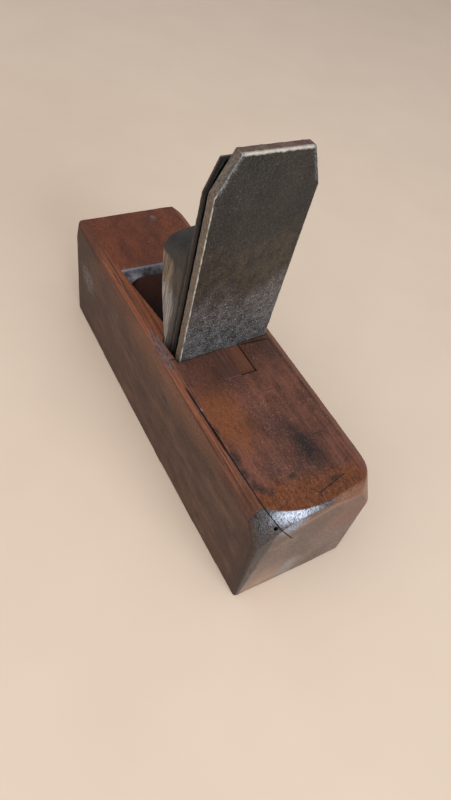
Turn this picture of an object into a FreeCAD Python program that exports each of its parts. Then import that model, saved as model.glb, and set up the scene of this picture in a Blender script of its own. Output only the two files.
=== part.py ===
import FreeCAD, Part
import os
import Sketcher

# Coffin-shaped wooden hand plane with an upright double iron.
# +X runs toward the toe, +Y to the left and +Z up; the origin is under the middle of the sole.
# The iron, cap iron, screw and wedge share a bed frame: its X leaves the bed face toward the toe,
# its Y runs along the cutting edge, and its Z runs up the bed from the sole.

doc = FreeCAD.newDocument("hand_plane")
sheet = doc.addObject("Spreadsheet::Sheet", "sizes")

SIZES = [
    ("stock_length", 214.2, "stock, toe to heel"),
    ("stock_height", 66.2, "stock, sole to top"),
    ("widest_width", 65.0, "stock width at its widest"),
    ("widest_place", 5.0, "where it is widest, ahead of the middle"),
    ("toe_width", 64.4, "stock width at the toe"),
    ("heel_width", 62.2, "stock width at the heel"),
    ("heel_right_more", 1.2, "how much farther out the heel's right side stands than its left"),
    ("toe_left_round", 1.5, "radius of the left toe corner"),
    ("toe_left_round_high", 6.0, "its radius at the top"),
    ("toe_left_round_start", 54.0, "height where it starts to grow"),
    ("toe_right_round", 9.0, "radius of the right toe corner"),
    ("heel_left_round_low", 1.5, "left heel corner radius at the sole"),
    ("heel_left_round_high", 5.0, "left heel corner radius at the top"),
    ("heel_right_round_low", 2.5, "right heel corner radius at the sole"),
    ("heel_right_round_high", 19.0, "right heel corner radius at the top"),
    ("heel_right_round_start", 47.0, "height where the right heel corner's radius starts to grow"),
    ("left_bevel", 5.2, "bevel of the left top edge, each way"),
    ("left_bevel_taper_start", 38.0, "where that bevel starts to fade, ahead of the middle"),
    ("left_bevel_toe", 0.6, "what is left of it at the toe"),
    ("right_bevel_wide", 3.9, "bevel of the right top edge, across the top"),
    ("right_bevel_high", 2.2, "bevel of the right top edge, down the side"),
    ("toe_bevel", 1.5, "bevel of the toe's top edge, each way"),
    ("heel_run_corner", 17.0, "heel rounding at the left corner, along the top"),
    ("heel_drop_corner", 44.0, "heel rounding at the left corner, down the heel"),
    ("heel_run_middle", 1.9, "heel rounding at the middle, along the top"),
    ("heel_drop_middle", 19.5, "heel rounding at the middle, down the heel"),
    ("heel_run_right", 1.9, "heel rounding at the right, along the top"),
    ("heel_drop_right", 17.0, "heel rounding at the right, down the heel"),
    ("bed_back", 10.35, "bed face at the sole, behind the middle"),
    ("bed_left", 0.16, "middle of the bed, to the left of the middle"),
    ("bed_skew", 3.1, "degrees the bed turns about the upright"),
    ("bed_lean", 1.3, "degrees the bed leans back from upright"),
    ("bed_roll", 2.1, "degrees the iron tips to the right"),
    ("slot_side_clear", 0.9, "gap at each side of the iron in its slot"),
    ("mouth_gap", 3.2, "mouth opening ahead of the cutting edge"),
    ("wear_height", 8.0, "height over which the mouth opens out"),
    ("abutment_clear", 0.25, "gap between the wedge and its abutments"),
    ("throat_front", 59.0, "front edge of the throat, ahead of the middle"),
    ("throat_left", 24.2, "left wall of the throat at its front, from the middle"),
    ("throat_right", 24.2, "right wall of the throat at its front, from the middle"),
    ("throat_left_back", 18.0, "left wall of the throat at the wedge, from the middle"),
    ("throat_right_back", 18.0, "right wall of the throat at the wedge, from the middle"),
    ("throat_lip_run", 3.8, "sloping lip at the throat's front, along the top"),
    ("throat_lip_drop", 5.0, "sloping lip at the throat's front, down"),
    ("throat_corner", 13.0, "corner radius of the throat below its lip"),
    ("scoop_radius", 84.0, "radius of the hollow front wall of the throat"),
    ("scoop_low", 13.0, "where the hollow wall meets the mouth, above the sole"),
    ("channel_wide", 17.4, "channel in the bed for the screw's head"),
    ("channel_deep", 5.4, "its depth into the bed"),
    ("channel_low", 31.5, "its lower end up the bed"),
    ("block_long", 19.9, "fitted block behind the iron, along the stock, from the bed's top edge"),
    ("block_wide", 17.2, "fitted block, across"),
    ("block_deep", 6.0, "fitted block, down"),
    ("block_left", 6.3, "left side of the block, from the middle"),
    ("block_seam", 0.12, "seam round the block"),
    ("block_chip_wide", 8.5, "chipped half of the block, across"),
    ("block_chip_deep", 1.1, "depth of the chipped half"),
    ("crack_start", 25.6, "front end of the crack, behind the middle"),
    ("crack_widest", 58.0, "widest place of the crack, behind the middle"),
    ("crack_neck", 70.0, "where the crack has narrowed to its width at the heel, behind the middle"),
    ("crack_left_start", 27.2, "crack's front end, left of the middle"),
    ("crack_left_widest", 26.2, "crack's widest place, left of the middle"),
    ("crack_left_end", 23.9, "crack at the heel, left of the middle"),
    ("crack_width", 1.7, "crack width at its widest"),
    ("crack_width_end", 0.6, "crack width from its neck to the heel"),
    ("crack_tip", 0.25, "crack width at its tip and its bottom"),
    ("crack_deep", 31.0, "crack depth from the top"),
    ("crack_tilt", 33.0, "degrees the crack leans toward the right as it goes down"),
    ("worm_radius", 0.75, "worm hole radius"),
    ("worm_deep", 4.0, "worm hole depth"),
    ("worm_back", 105.3, "worm hole, behind the middle"),
    ("worm_left", 21.5, "worm hole, left of the middle"),
    ("worm_down", 6.8, "worm hole, below the top"),
    ("iron_width", 50.0, "cutting iron and cap iron width"),
    ("iron_long", 171.0, "cutting iron length"),
    ("iron_thick", 4.8, "cutting iron thickness"),
    ("iron_clip_wide", 8.0, "clipped top corners, across"),
    ("iron_clip_high", 17.2, "clipped top corners, down"),
    ("iron_bevel", 27.0, "degrees of the ground bevel"),
    ("edge_lift", 0.3, "cutting edge above the sole at rest"),
    ("slot_low", 25.0, "middle of the iron's round hole, up from the edge"),
    ("slot_high", 46.0, "middle of the slot's top end, up from the edge"),
    ("slot_wide", 11.4, "slot width in the iron"),
    ("slot_hole_radius", 8.8, "round hole at the slot's lower end"),
    ("cap_gap", 1.1, "gap between the irons"),
    ("cap_thick", 3.2, "cap iron thickness"),
    ("cap_long", 165.8, "cap iron's top, up the bed"),
    ("cap_clip_wide", 5.0, "cap iron's clipped corners, across"),
    ("cap_clip_high", 14.3, "cap iron's clipped corners, down"),
    ("cap_setback", 1.0, "cap iron's edge above the cutting edge"),
    ("cap_nose_high", 19.0, "height of the cap iron's curved nose"),
    ("cap_nose_radius", 34.0, "radius of the curved nose"),
    ("cap_hook_high", 12.0, "height of the hollow behind the nose"),
    ("screw_high", 42.0, "cap screw's place up the bed"),
    ("shank_radius", 4.9, "cap screw shank radius"),
    ("head_radius", 8.0, "cap screw head radius"),
    ("head_thick", 3.4, "cap screw head thickness"),
    ("head_slot_wide", 1.6, "driver slot width"),
    ("head_slot_deep", 1.5, "driver slot depth"),
    ("boss_radius", 8.5, "threaded boss radius in front of the cap iron"),
    ("boss_neck", 7.0, "boss radius inside the cap iron"),
    ("boss_foot", 7.6, "boss radius between the irons"),
    ("boss_thick", 4.5, "boss thickness in front of the cap iron"),
    ("boss_bevel", 0.8, "bevel round the boss and the screw head"),
    ("run_clear", 0.05, "running gap, screw to boss and boss to iron"),
    ("wedge_clear", 0.1, "gap between the wedge and the cap iron"),
    ("wedge_thick", 7.8, "wedge thickness level with the stock's top"),
    ("wedge_taper", 8.5, "degrees of the wedge's taper in the stock"),
    ("wedge_tip_high", 31.0, "wedge tips, up the bed"),
    ("wedge_head_thick", 20.6, "wedge thickness at the foot of its rounded top"),
    ("wedge_head_high", 44.3, "foot of the rounded top at the front, above the stock's top"),
    ("wedge_swell_radius", 155.0, "radius of the wedge's swelling front"),
    ("wedge_shoulder_rise", 7.4, "rise of its shoulders"),
    ("wedge_shoulder_wide", 6.0, "width of its shoulders"),
    ("wedge_shoulder_radius", 7.3, "radius of its shoulders"),
    ("wedge_arch_radius", 100.0, "radius of its crown"),
    ("wedge_top_slope", 25.0, "degrees the top rises toward the cap iron"),
    ("wedge_edge", 1.3, "bevel of the wedge's rear edges"),
    ("fork_wide", 20.0, "gap between the wedge's legs"),
    ("fork_high", 54.0, "where the fork's round end starts, up the bed"),
    ("over", 5.0, "how far cuts run past a face"),
]
for row, (alias, number, meaning) in enumerate(SIZES, start=1):
    sheet.set(f"A{row}", meaning)
    sheet.set(f"B{row}", str(number))
    sheet.setAlias(f"B{row}", alias)
doc.recompute()

names = [alias for alias, number, meaning in SIZES]
size = {alias: float(sheet.get(alias)) for alias in names}


def bound(text):
    """A formula in plain size names, written out for the sheet."""
    words = []
    word = ""
    for letter in text + " ":
        if letter.isalnum() or letter == "_":
            word += letter
        else:
            words.append("sizes." + word if word in size else word)
            words.append(letter)
            word = ""
    return "".join(words).strip()


def value(text):
    result = sheet.evalExpression(bound(text))
    return float(getattr(result, "Value", result))


def arc_between(start, end, radius, side):
    """Short arc from start to end; side is 1 where it bulges to the left of that way, else -1.
    A negative radius bulges to the other side."""
    chord = end - start
    middle = (start + end) / 2
    left = FreeCAD.Vector(-chord.y, chord.x, 0).normalize()
    half = chord.Length / 2
    rise = abs(radius) - (radius ** 2 - half ** 2) ** 0.5
    return Part.Arc(start, middle + left * rise * (side if radius > 0 else -side), end)


def draw(sketch, corners):
    """Closed outline. A corner is (x, y), or (x, y, radius, side) where an arc leads to the next."""
    points = [FreeCAD.Vector(value(corner[0]), value(corner[1]), 0) for corner in corners]
    ends = []
    for index, corner in enumerate(corners):
        start = points[index]
        end = points[(index + 1) % len(points)]
        if len(corner) == 4:
            place = sketch.addGeometry(arc_between(start, end, value(corner[2]), corner[3]), False)
        else:
            place = sketch.addGeometry(Part.LineSegment(start, end), False)
        near = sketch.getPoint(place, 1).distanceToPoint(start)
        far = sketch.getPoint(place, 2).distanceToPoint(start)
        first = 1 if near < far else 2
        ends.append((place, first, 3 - first))
    for index, (place, first, last) in enumerate(ends):
        following = ends[(index + 1) % len(ends)]
        sketch.addConstraint(Sketcher.Constraint("Coincident", place, last, following[0], following[1]))
    for index, corner in enumerate(corners):
        place, first, last = ends[index]
        rules = [("DistanceX", points[index].x, corner[0]), ("DistanceY", points[index].y, corner[1])]
        for kind, number, text in rules:
            rule = sketch.addConstraint(Sketcher.Constraint(kind, -1, 1, place, first, number))
            sketch.setExpression(f"Constraints[{rule}]", bound(text))
        if len(corner) == 4:
            rule = sketch.addConstraint(Sketcher.Constraint("Radius", place, abs(value(corner[2]))))
            sketch.setExpression(f"Constraints[{rule}]", bound(f"abs({corner[2]})"))
    return sketch


def draw_circle(sketch, across, up, radius):
    centre = FreeCAD.Vector(value(across), value(up), 0)
    place = sketch.addGeometry(Part.Circle(centre, FreeCAD.Vector(0, 0, 1), value(radius)), False)
    rules = [("DistanceX", centre.x, across), ("DistanceY", centre.y, up)]
    for kind, number, text in rules:
        rule = sketch.addConstraint(Sketcher.Constraint(kind, -1, 1, place, 3, number))
        sketch.setExpression(f"Constraints[{rule}]", bound(text))
    rule = sketch.addConstraint(Sketcher.Constraint("Radius", place, value(radius)))
    sketch.setExpression(f"Constraints[{rule}]", bound(radius))
    return sketch


def placed(x="0", y="0", z="0", turn="rotation(0; 0; 0)"):
    return bound(f"create(<<placement>>; create(<<vector>>; {x}; {y}; {z}); create(<<rotation>>; {turn}))")


# Turns that stand a loose sketch in the YZ or XZ plane, as yaw, pitch and roll.
FACING_TOE = "90; 0; 90"
FACING_RIGHT = "0; 0; 90"
BED_FRAME = placed("-bed_back", "bed_left", "0", "bed_skew; -bed_lean; bed_roll")


def loose_sketch(name, place):
    sketch = doc.addObject("Sketcher::SketchObject", name)
    sketch.setExpression("Placement", place)
    return sketch


def body_sketch(body, name, plane, shift="0", turn="0"):
    """Sketch on one of the body's own planes, moved off it by shift and turned about its x by turn."""
    sketch = body.newObject("Sketcher::SketchObject", name)
    base = [feature for feature in body.Origin.OriginFeatures if feature.Role == plane][0]
    sketch.AttachmentSupport = [(base, "")]
    sketch.MapMode = "FlatFace"
    sketch.setExpression("AttachmentOffset", placed("0", "0", shift, f"0; 0; {turn}"))
    return sketch


def pad(body, sketch, name, length, both_ways=False):
    feature = body.newObject("PartDesign::Pad", name)
    feature.Profile = sketch
    feature.SideType = "Symmetric" if both_ways else "One side"
    feature.setExpression("Length", bound(length))
    return finished(body, feature)


def pocket(body, sketch, name, length):
    """Cut both ways from the sketch."""
    before = body.Shape.Volume
    feature = body.newObject("PartDesign::Pocket", name)
    feature.Profile = sketch
    feature.SideType = "Symmetric"
    feature.setExpression("Length", bound(length))
    finished(body, feature)
    assert body.Shape.Volume < before, name
    return feature


def finished(body, feature):
    body.Tip = feature
    doc.recompute()
    return feature


def edge_names(shape, wanted):
    return [f"Edge{index}" for index, edge in enumerate(shape.Edges, start=1) if wanted(edge)]


def chamfer(body, base, name, width, wanted):
    feature = body.newObject("PartDesign::Chamfer", name)
    feature.Base = (base, edge_names(base.Shape, wanted))
    feature.setExpression("Size", bound(width))
    return finished(body, feature)


def extrusion(name, sketch, length):
    """Solid drawn out along the sketch's normal."""
    solid = doc.addObject("Part::Extrusion", name)
    solid.Base = sketch
    solid.DirMode = "Normal"
    solid.Solid = True
    solid.setExpression("LengthFwd", bound(length))
    return solid


def loft(name, sections, ruled):
    solid = doc.addObject("Part::Loft", name)
    solid.Sections = sections
    solid.Solid = True
    solid.Ruled = ruled
    return solid


def box(name, place, length, width, height):
    solid = doc.addObject("Part::Box", name)
    solid.setExpression("Placement", place)
    solid.setExpression("Length", bound(length))
    solid.setExpression("Width", bound(width))
    solid.setExpression("Height", bound(height))
    return solid


def together(name, shapes):
    solid = doc.addObject("Part::MultiFuse", name)
    solid.Shapes = shapes
    return solid


def shared(name, shapes):
    solid = doc.addObject("Part::MultiCommon", name)
    solid.Shapes = shapes
    return solid


def cut(name, base, tool):
    solid = doc.addObject("Part::Cut", name)
    solid.Base = base
    solid.Tool = tool
    return solid


# Stock: a coffin-shaped block whose sides bow out, with its upright corners rounded.
HALF = "stock_length / 2"
TOE_REACH = "(stock_length / 2 - widest_place)"
HEEL_REACH = "(stock_length / 2 + widest_place)"
HEEL_LEFT = "(heel_width / 2)"
HEEL_RIGHT = "(heel_width / 2 + heel_right_more)"


def bow_radius(reach, end_half):
    """Radius of a side that runs along the stock at its widest place; negative if it bows inward."""
    bow = f"(widest_width / 2 - {end_half})"
    return f"({bow} / 2 + {reach} ^ 2 / (2 * {bow}))"


def stock_block():
    body = doc.addObject("PartDesign::Body", "stock_block")
    toe_radius = bow_radius(TOE_REACH, "toe_width / 2")
    plan = draw(body_sketch(body, "stock_plan", "XY_Plane"), [
        (HALF, "-toe_width / 2"),
        (HALF, "toe_width / 2", toe_radius, -1),
        ("widest_place", "widest_width / 2", bow_radius(HEEL_REACH, HEEL_LEFT), -1),
        (f"-{HALF}", HEEL_LEFT),
        (f"-{HALF}", f"-{HEEL_RIGHT}", bow_radius(HEEL_REACH, HEEL_RIGHT), -1),
        ("widest_place", "-widest_width / 2", toe_radius, -1),
    ])
    pad(body, plan, "stock_pad", "stock_height")
    return body


def rounded_corners(block):
    """Each upright corner with its radius at the sole and at the top."""
    rounds = {
        (1, 1): ("toe_left_round", "toe_left_round"),
        (1, -1): ("toe_right_round", "toe_right_round"),
        (-1, 1): ("heel_left_round_low", "heel_left_round_high"),
        (-1, -1): ("heel_right_round_low", "heel_right_round_low"),
    }
    edges = []
    for index, edge in enumerate(block.Shape.Edges, start=1):
        first, last = edge.Vertexes[0].Point, edge.Vertexes[-1].Point
        upright = abs(first.z - last.z) > size["stock_height"] / 2
        if upright and abs(first.x) > size["stock_length"] / 3:
            low, high = rounds[(1 if first.x > 0 else -1, 1 if first.y > 0 else -1)]
            if first.z > last.z:
                low, high = high, low
            edges.append((index, size[low], size[high]))
    solid = doc.addObject("Part::Fillet", "stock_rounded")
    solid.Base = block
    solid.Edges = edges
    return solid


def upper_corner(name, end, side, half, start, low, high):
    """Cutter that rounds an upright corner more and more from a height up to the top.
    half is how far out the corner stands; the radius leaves the upright's own, low, for high."""
    growth = f"({high} - {low} / 2) * (stock_height + over - {start}) / (stock_height - {start})"
    sections = []
    levels = [(start, f"({low} / 2)"), ("(stock_height + over)", f"({low} / 2 + {growth})")]
    for number, (height, radius) in enumerate(levels, start=1):
        along = f"{end} * ({HALF} - {radius})"
        across = f"{side} * ({half} - {radius})"
        sections.append(draw(loose_sketch(f"{name}_{number}", placed("0", "0", height)), [
            (f"{end} * {HALF}", across, radius, -end * side),
            (along, f"{side} * {half}"),
            (along, f"{side} * ({half} + over)"),
            (f"{end} * ({HALF} + over)", f"{side} * ({half} + over)"),
            (f"{end} * ({HALF} + over)", across),
        ]))
    return loft(name, sections, True)


def half_width(place, side):
    """How far out a side (left 1, right -1) stands at a place along the stock."""
    ahead = value(place) > size["widest_place"]
    reach = TOE_REACH if ahead else HEEL_REACH
    heel_half = HEEL_LEFT if side > 0 else HEEL_RIGHT
    end_half = "toe_width / 2" if ahead else heel_half
    return f"(widest_width / 2 - (widest_width / 2 - {end_half}) * (({place} - widest_place) / {reach}) ^ 2)"


def side_bevel(name, side, stations):
    """Cutter along a top side edge. A station is its place, the bevel's width and its height."""
    sections = []
    for number, (place, wide, high) in enumerate(stations, start=1):
        half = half_width(place, side)
        sketch = loose_sketch(f"{name}_{number}", placed(place, "0", "0", FACING_TOE))
        sections.append(draw(sketch, [
            (f"{side} * ({half} + over)", f"stock_height - {high} - over * {high} / {wide}"),
            (f"{side} * ({half} + over)", "stock_height + over"),
            (f"{side} * ({half} - {wide} - over * {wide} / {high})", "stock_height + over"),
        ]))
    return loft(name, sections, True)


# Radius of an end's rounding, in shares of its slant.
END_BULGE_SHARE = 0.9


def end_rounding(name, end, stations, ruled):
    """Cutter along the top edge of the toe (end 1) or heel (end -1).
    A station is its place across, the rounding's run and its drop."""
    sections = []
    for number, (place, run, drop) in enumerate(stations, start=1):
        sketch = loose_sketch(f"{name}_{number}", placed("0", place, "0", FACING_RIGHT))
        bulge = f"{END_BULGE_SHARE} * sqrt(({run}) ^ 2 + ({drop}) ^ 2)"
        sections.append(draw(sketch, [
            (f"{end} * ({HALF})", f"stock_height - {drop}", bulge, -end),
            (f"{end} * ({HALF} - {run})", "stock_height"),
            (f"{end} * ({HALF} - {run})", "stock_height + over"),
            (f"{end} * ({HALF} + over)", "stock_height + over"),
            (f"{end} * ({HALF} + over)", f"stock_height - {drop}"),
        ]))
    return loft(name, sections, ruled)


def between(first, last, share):
    return f"({first} + ({last} - {first}) * {share})"


# Where the heel's rounding is set, from the left side (1) to the right (-1), and how far its size
# has gone there from the corner's to the middle's.
HEEL_PLACE_SHARES = (1.06, 0.84, 0.58, 0.26)
HEEL_FADE_SHARES = (0.0, 0.46, 0.80, 1.0)


def heel_stations():
    stations = []
    for place, fade in zip(HEEL_PLACE_SHARES, HEEL_FADE_SHARES):
        run = between("heel_run_corner", "heel_run_middle", fade)
        drop = between("heel_drop_corner", "heel_drop_middle", fade)
        stations.append((f"heel_width / 2 * {place}", run, drop))
    stations.append(("-heel_width / 2 - over", "heel_run_right", "heel_drop_right"))
    return stations


# Slot for the irons and the wedge: bed face behind, abutments in front, mouth below.
CAP_BACK = "(iron_thick + cap_gap)"
CAP_FRONT = "(iron_thick + cap_gap + cap_thick)"
WEDGE_BACK = "(iron_thick + cap_gap + cap_thick + wedge_clear)"


def wedge_front(height):
    """Front of the wedge inside the stock, out from the bed."""
    return f"({WEDGE_BACK} + wedge_thick + ({height} - stock_height) * tan(wedge_taper))"


def slot_tool(name):
    body = doc.addObject("PartDesign::Body", name)
    body.setExpression("Placement", BED_FRAME)
    sketch = draw(body_sketch(body, name + "_side", "XZ_Plane"), [
        ("0", "-over"),
        ("iron_thick + mouth_gap", "-over"),
        ("iron_thick + mouth_gap", "0"),
        (wedge_front("wedge_tip_high") + " + abutment_clear", "wear_height"),
        (wedge_front("wedge_tip_high") + " + abutment_clear", "wedge_tip_high"),
        (wedge_front("(stock_height + over)") + " + abutment_clear", "stock_height + over"),
        ("0", "stock_height + over"),
    ])
    pad(body, sketch, name + "_pad", "iron_width + 2 * slot_side_clear", True)
    return body


def channel_tool():
    """Channel in the bed for the head of the cap screw."""
    place = BED_FRAME + " * " + placed("-channel_deep", "-channel_wide / 2", "channel_low")
    return box("screw_channel", place, "channel_deep + iron_thick / 2", "channel_wide",
               "stock_height - block_deep - block_seam - channel_low")


def throat_tool():
    """Throat ahead of the wedge: flaring sides, a sloping lip in front, and a hollow wall with rounded
    corners below it."""
    width = "throat_left + throat_right"
    wedge = "(" + wedge_front("stock_height") + " - bed_back)"
    back = "(-bed_back + iron_thick)"
    lip_low = "(stock_height - throat_lip_drop)"
    wall = "(throat_front - throat_lip_run)"
    left = placed("0", "throat_left", "0", FACING_RIGHT)
    lip = draw(loose_sketch("throat_lip_side", left), [
        (back, lip_low),
        (wall, lip_low),
        ("throat_front", "stock_height"),
        ("throat_front", "stock_height + over"),
        (back, "stock_height + over"),
    ])
    hollow = draw(loose_sketch("throat_hollow_side", left), [
        (back, "scoop_low", "scoop_radius", -1),
        (wall, lip_low),
        (wall, "stock_height"),
        (back, "stock_height"),
    ])
    plan = draw(loose_sketch("throat_plan", placed()), [
        (back, "-throat_right"),
        (f"{wall} - throat_corner", "-throat_right", "throat_corner", -1),
        (wall, "throat_corner - throat_right"),
        (wall, "throat_left - throat_corner", "throat_corner", -1),
        (f"{wall} - throat_corner", "throat_left"),
        (back, "throat_left"),
    ])
    flare = draw(loose_sketch("throat_flare", placed()), [
        (back, "-throat_right_back"),
        (wedge, "-throat_right_back"),
        ("throat_front", "-throat_right"),
        ("throat_front + over", "-throat_right"),
        ("throat_front + over", "throat_left"),
        ("throat_front", "throat_left"),
        (wedge, "throat_left_back"),
        (back, "throat_left_back"),
    ])
    lip_cut = extrusion("throat_lip", lip, width)
    hollow_cut = extrusion("throat_hollow", hollow, width)
    corner_cut = extrusion("throat_corners", plan, "stock_height")
    flare_cut = extrusion("throat_sides", flare, "stock_height + 2 * over")
    well = shared("throat_well", [hollow_cut, corner_cut])
    return shared("throat", [together("throat_whole", [lip_cut, well]), flare_cut])


def block_recess():
    """Recess behind the iron that the fitted block fills."""
    place = placed("-bed_back - block_long - block_seam", "block_left - block_wide - block_seam",
                   "stock_height - block_deep - block_seam")
    return box("block_recess", place, "block_long + block_seam", "block_wide + 2 * block_seam",
               "block_deep + over")


def crack_tool():
    """Drying crack beside the left bevel: it leans inward and closes up as it goes down."""
    levels = [
        ("over", "crack_width", "crack_width_end", "crack_start", "crack_widest", "crack_neck"),
        ("-crack_deep", "crack_tip", "crack_tip", "crack_widest", "crack_neck",
         "(crack_neck + stock_length / 2) / 2"),
    ]
    sections = []
    for number, (up, wide, end_wide, start, widest, neck) in enumerate(levels, start=1):
        place = placed("0", f"({up}) * tan(crack_tilt)", f"stock_height + {up}")
        closed = f"(({neck} - {widest}) / ({HALF} + over - {widest}))"
        neck_left = between("crack_left_widest", "crack_left_end", closed)
        sections.append(draw(loose_sketch(f"crack_level_{number}", place), [
            (f"-{start}", "crack_left_start - crack_tip / 2"),
            (f"-{start}", "crack_left_start + crack_tip / 2"),
            (f"-{widest}", f"crack_left_widest + {wide} / 2"),
            (f"-{neck}", f"{neck_left} + {end_wide} / 2"),
            (f"-({HALF} + over)", f"crack_left_end + {end_wide} / 2"),
            (f"-({HALF} + over)", f"crack_left_end - {end_wide} / 2"),
            (f"-{neck}", f"{neck_left} - {end_wide} / 2"),
            (f"-{widest}", f"crack_left_widest - {wide} / 2"),
        ]))
    return loft("crack", sections, True)


def worm_hole():
    """Small hole square to the rounded heel corner."""
    hole = doc.addObject("Part::Cylinder", "worm_hole")
    place = placed("-worm_back + worm_deep", "worm_left", "stock_height - worm_down - worm_deep", "0; -45; 0")
    hole.setExpression("Placement", place)
    hole.setExpression("Radius", bound("worm_radius"))
    hole.setExpression("Height", bound("worm_deep * sqrt(2) + over"))
    return hole


def make_stock(slot):
    doc.recompute()
    rounded = rounded_corners(stock_block())
    left = side_bevel("left_bevel_cut", 1, [
        (f"(-{HALF} - over)", "left_bevel", "left_bevel"),
        ("widest_place", "left_bevel", "left_bevel"),
        ("left_bevel_taper_start", "left_bevel", "left_bevel"),
        (f"({HALF} + over)", "left_bevel_toe", "left_bevel_toe"),
    ])
    right = side_bevel("right_bevel_cut", -1, [
        (f"(-{HALF} - over)", "right_bevel_wide", "right_bevel_high"),
        ("widest_place", "right_bevel_wide", "right_bevel_high"),
        (f"({HALF} + over)", "right_bevel_wide", "right_bevel_high"),
    ])
    heel = end_rounding("heel_round_cut", -1, heel_stations(), False)
    toe = end_rounding("toe_round_cut", 1, [
        ("toe_width / 2 + over", "toe_bevel", "toe_bevel"),
        ("-toe_width / 2 - over", "toe_bevel", "toe_bevel"),
    ], True)
    heel_corner = upper_corner("heel_right_corner", -1, -1, HEEL_RIGHT, "heel_right_round_start",
                               "heel_right_round_low", "heel_right_round_high")
    toe_corner = upper_corner("toe_left_corner", 1, 1, "(toe_width / 2)", "toe_left_round_start",
                              "toe_left_round", "toe_left_round_high")
    tools = together("stock_cuts", [
        left, right, heel, toe, heel_corner, toe_corner, slot, channel_tool(), throat_tool(),
        block_recess(), crack_tool(), worm_hole(),
    ])
    return cut("stock", rounded, tools)


# Fitted block: fills the top of the screw channel, level with the stock, its right half chipped.
def make_block(slot):
    place = placed("-bed_back - block_long", "block_left - block_wide", "stock_height - block_deep")
    whole = box("block_whole", place, "block_long", "block_wide", "block_deep")
    chip_place = placed("-bed_back - block_long - over", "block_left - block_wide - over",
                        "stock_height - block_chip_deep")
    chip = box("block_chip", chip_place, "block_long + 2 * over", "block_chip_wide + over",
               "block_chip_deep + over")
    return cut("bed_block", whole, together("block_cuts", [chip, slot]))


# Cutting iron: a thick plate with clipped top corners, a ground edge and a keyhole slot.
def plate_outline(low, top, clip_wide, clip_high):
    """Plate seen square to its face; its lower end follows the sole."""
    slope = "iron_width / 2 * tan(bed_roll)"
    return [
        ("-iron_width / 2", f"{low} + {slope}"),
        ("iron_width / 2", f"{low} - {slope}"),
        ("iron_width / 2", f"{top} - {clip_high}"),
        (f"iron_width / 2 - {clip_wide}", top),
        (f"{clip_wide} - iron_width / 2", top),
        ("-iron_width / 2", f"{top} - {clip_high}"),
    ]


# A round end is a hair flatter than a half circle, so that its side is certain.
HALF_CIRCLE_SHARE = 1.001


def bed_body(name):
    body = doc.addObject("PartDesign::Body", name)
    body.setExpression("Placement", BED_FRAME)
    return body


def make_iron():
    body = bed_body("cutting_iron")
    outline = draw(body_sketch(body, "iron_outline", "YZ_Plane"),
                   plate_outline("edge_lift", "iron_long", "iron_clip_wide", "iron_clip_high"))
    pad(body, outline, "iron_plate", "iron_thick")
    bevel = draw(body_sketch(body, "iron_bevel_side", "XZ_Plane", "0", "-bed_roll"), [
        ("iron_thick", "edge_lift"),
        ("-over", "edge_lift + (iron_thick + over) / tan(iron_bevel)"),
        ("-over", "edge_lift - over"),
        ("iron_thick", "edge_lift - over"),
    ])
    pocket(body, bevel, "iron_ground_bevel", "2 * iron_width")
    half = "slot_wide / 2"
    slot = draw(body_sketch(body, "iron_slot_outline", "YZ_Plane"), [
        (f"-{half}", "slot_low"),
        (half, "slot_low"),
        (half, "slot_high", f"{HALF_CIRCLE_SHARE} * {half}", -1),
        (f"-{half}", "slot_high"),
    ])
    pocket(body, slot, "iron_slot", "4 * iron_thick")
    hole = draw_circle(body_sketch(body, "iron_hole_outline", "YZ_Plane"), "0", "slot_low",
                       "slot_hole_radius")
    pocket(body, hole, "iron_hole", "4 * iron_thick")
    return body


# Cap iron: a thinner plate held off the iron, its curved nose reaching back to the cutting edge.
def make_cap():
    body = bed_body("cap_iron")
    edge = "(edge_lift + cap_setback)"
    outline = draw(body_sketch(body, "cap_outline", "YZ_Plane", "iron_thick + run_clear"),
                   plate_outline(edge, "cap_long", "cap_clip_wide", "cap_clip_high"))
    pad(body, outline, "cap_plate", "cap_gap + cap_thick - run_clear")
    front = draw(body_sketch(body, "cap_nose_side", "XZ_Plane", "0", "-bed_roll"), [
        ("iron_thick + run_clear + crack_tip", edge, "cap_nose_radius", -1),
        (CAP_FRONT, f"{edge} + cap_nose_high"),
        (f"{CAP_FRONT} + over", f"{edge} + cap_nose_high"),
        (f"{CAP_FRONT} + over", f"{edge} - over"),
        ("iron_thick + run_clear + crack_tip", f"{edge} - over"),
    ])
    pocket(body, front, "cap_nose", "2 * iron_width")
    back = draw(body_sketch(body, "cap_hollow_side", "XZ_Plane", "0", "-bed_roll"), [
        ("iron_thick", f"{edge} + cap_setback"),
        (CAP_BACK, f"{edge} + cap_hook_high"),
        (CAP_BACK, "cap_long + over"),
        ("iron_thick", "cap_long + over"),
    ])
    pocket(body, back, "cap_hollow", "2 * iron_width")
    hole = draw_circle(body_sketch(body, "cap_hole_outline", "YZ_Plane"), "0", "screw_high",
                       "boss_neck + run_clear / 2")
    pocket(body, hole, "cap_hole", "4 * (iron_thick + cap_gap + cap_thick)")
    return body


# Turned parts: a side profile revolved about the screw's line, which is square to the bed.
def turned(name, profile):
    body = doc.addObject("PartDesign::Body", name)
    body.setExpression("Placement", BED_FRAME + " * " + placed("0", "0", "screw_high"))
    sketch = draw(body_sketch(body, name + "_profile", "XZ_Plane"), profile)
    feature = body.newObject("PartDesign::Revolution", name + "_turned")
    feature.Profile = sketch
    feature.ReferenceAxis = (sketch, ["H_Axis"])
    feature.Angle = 360
    finished(body, feature)
    return body


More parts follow.
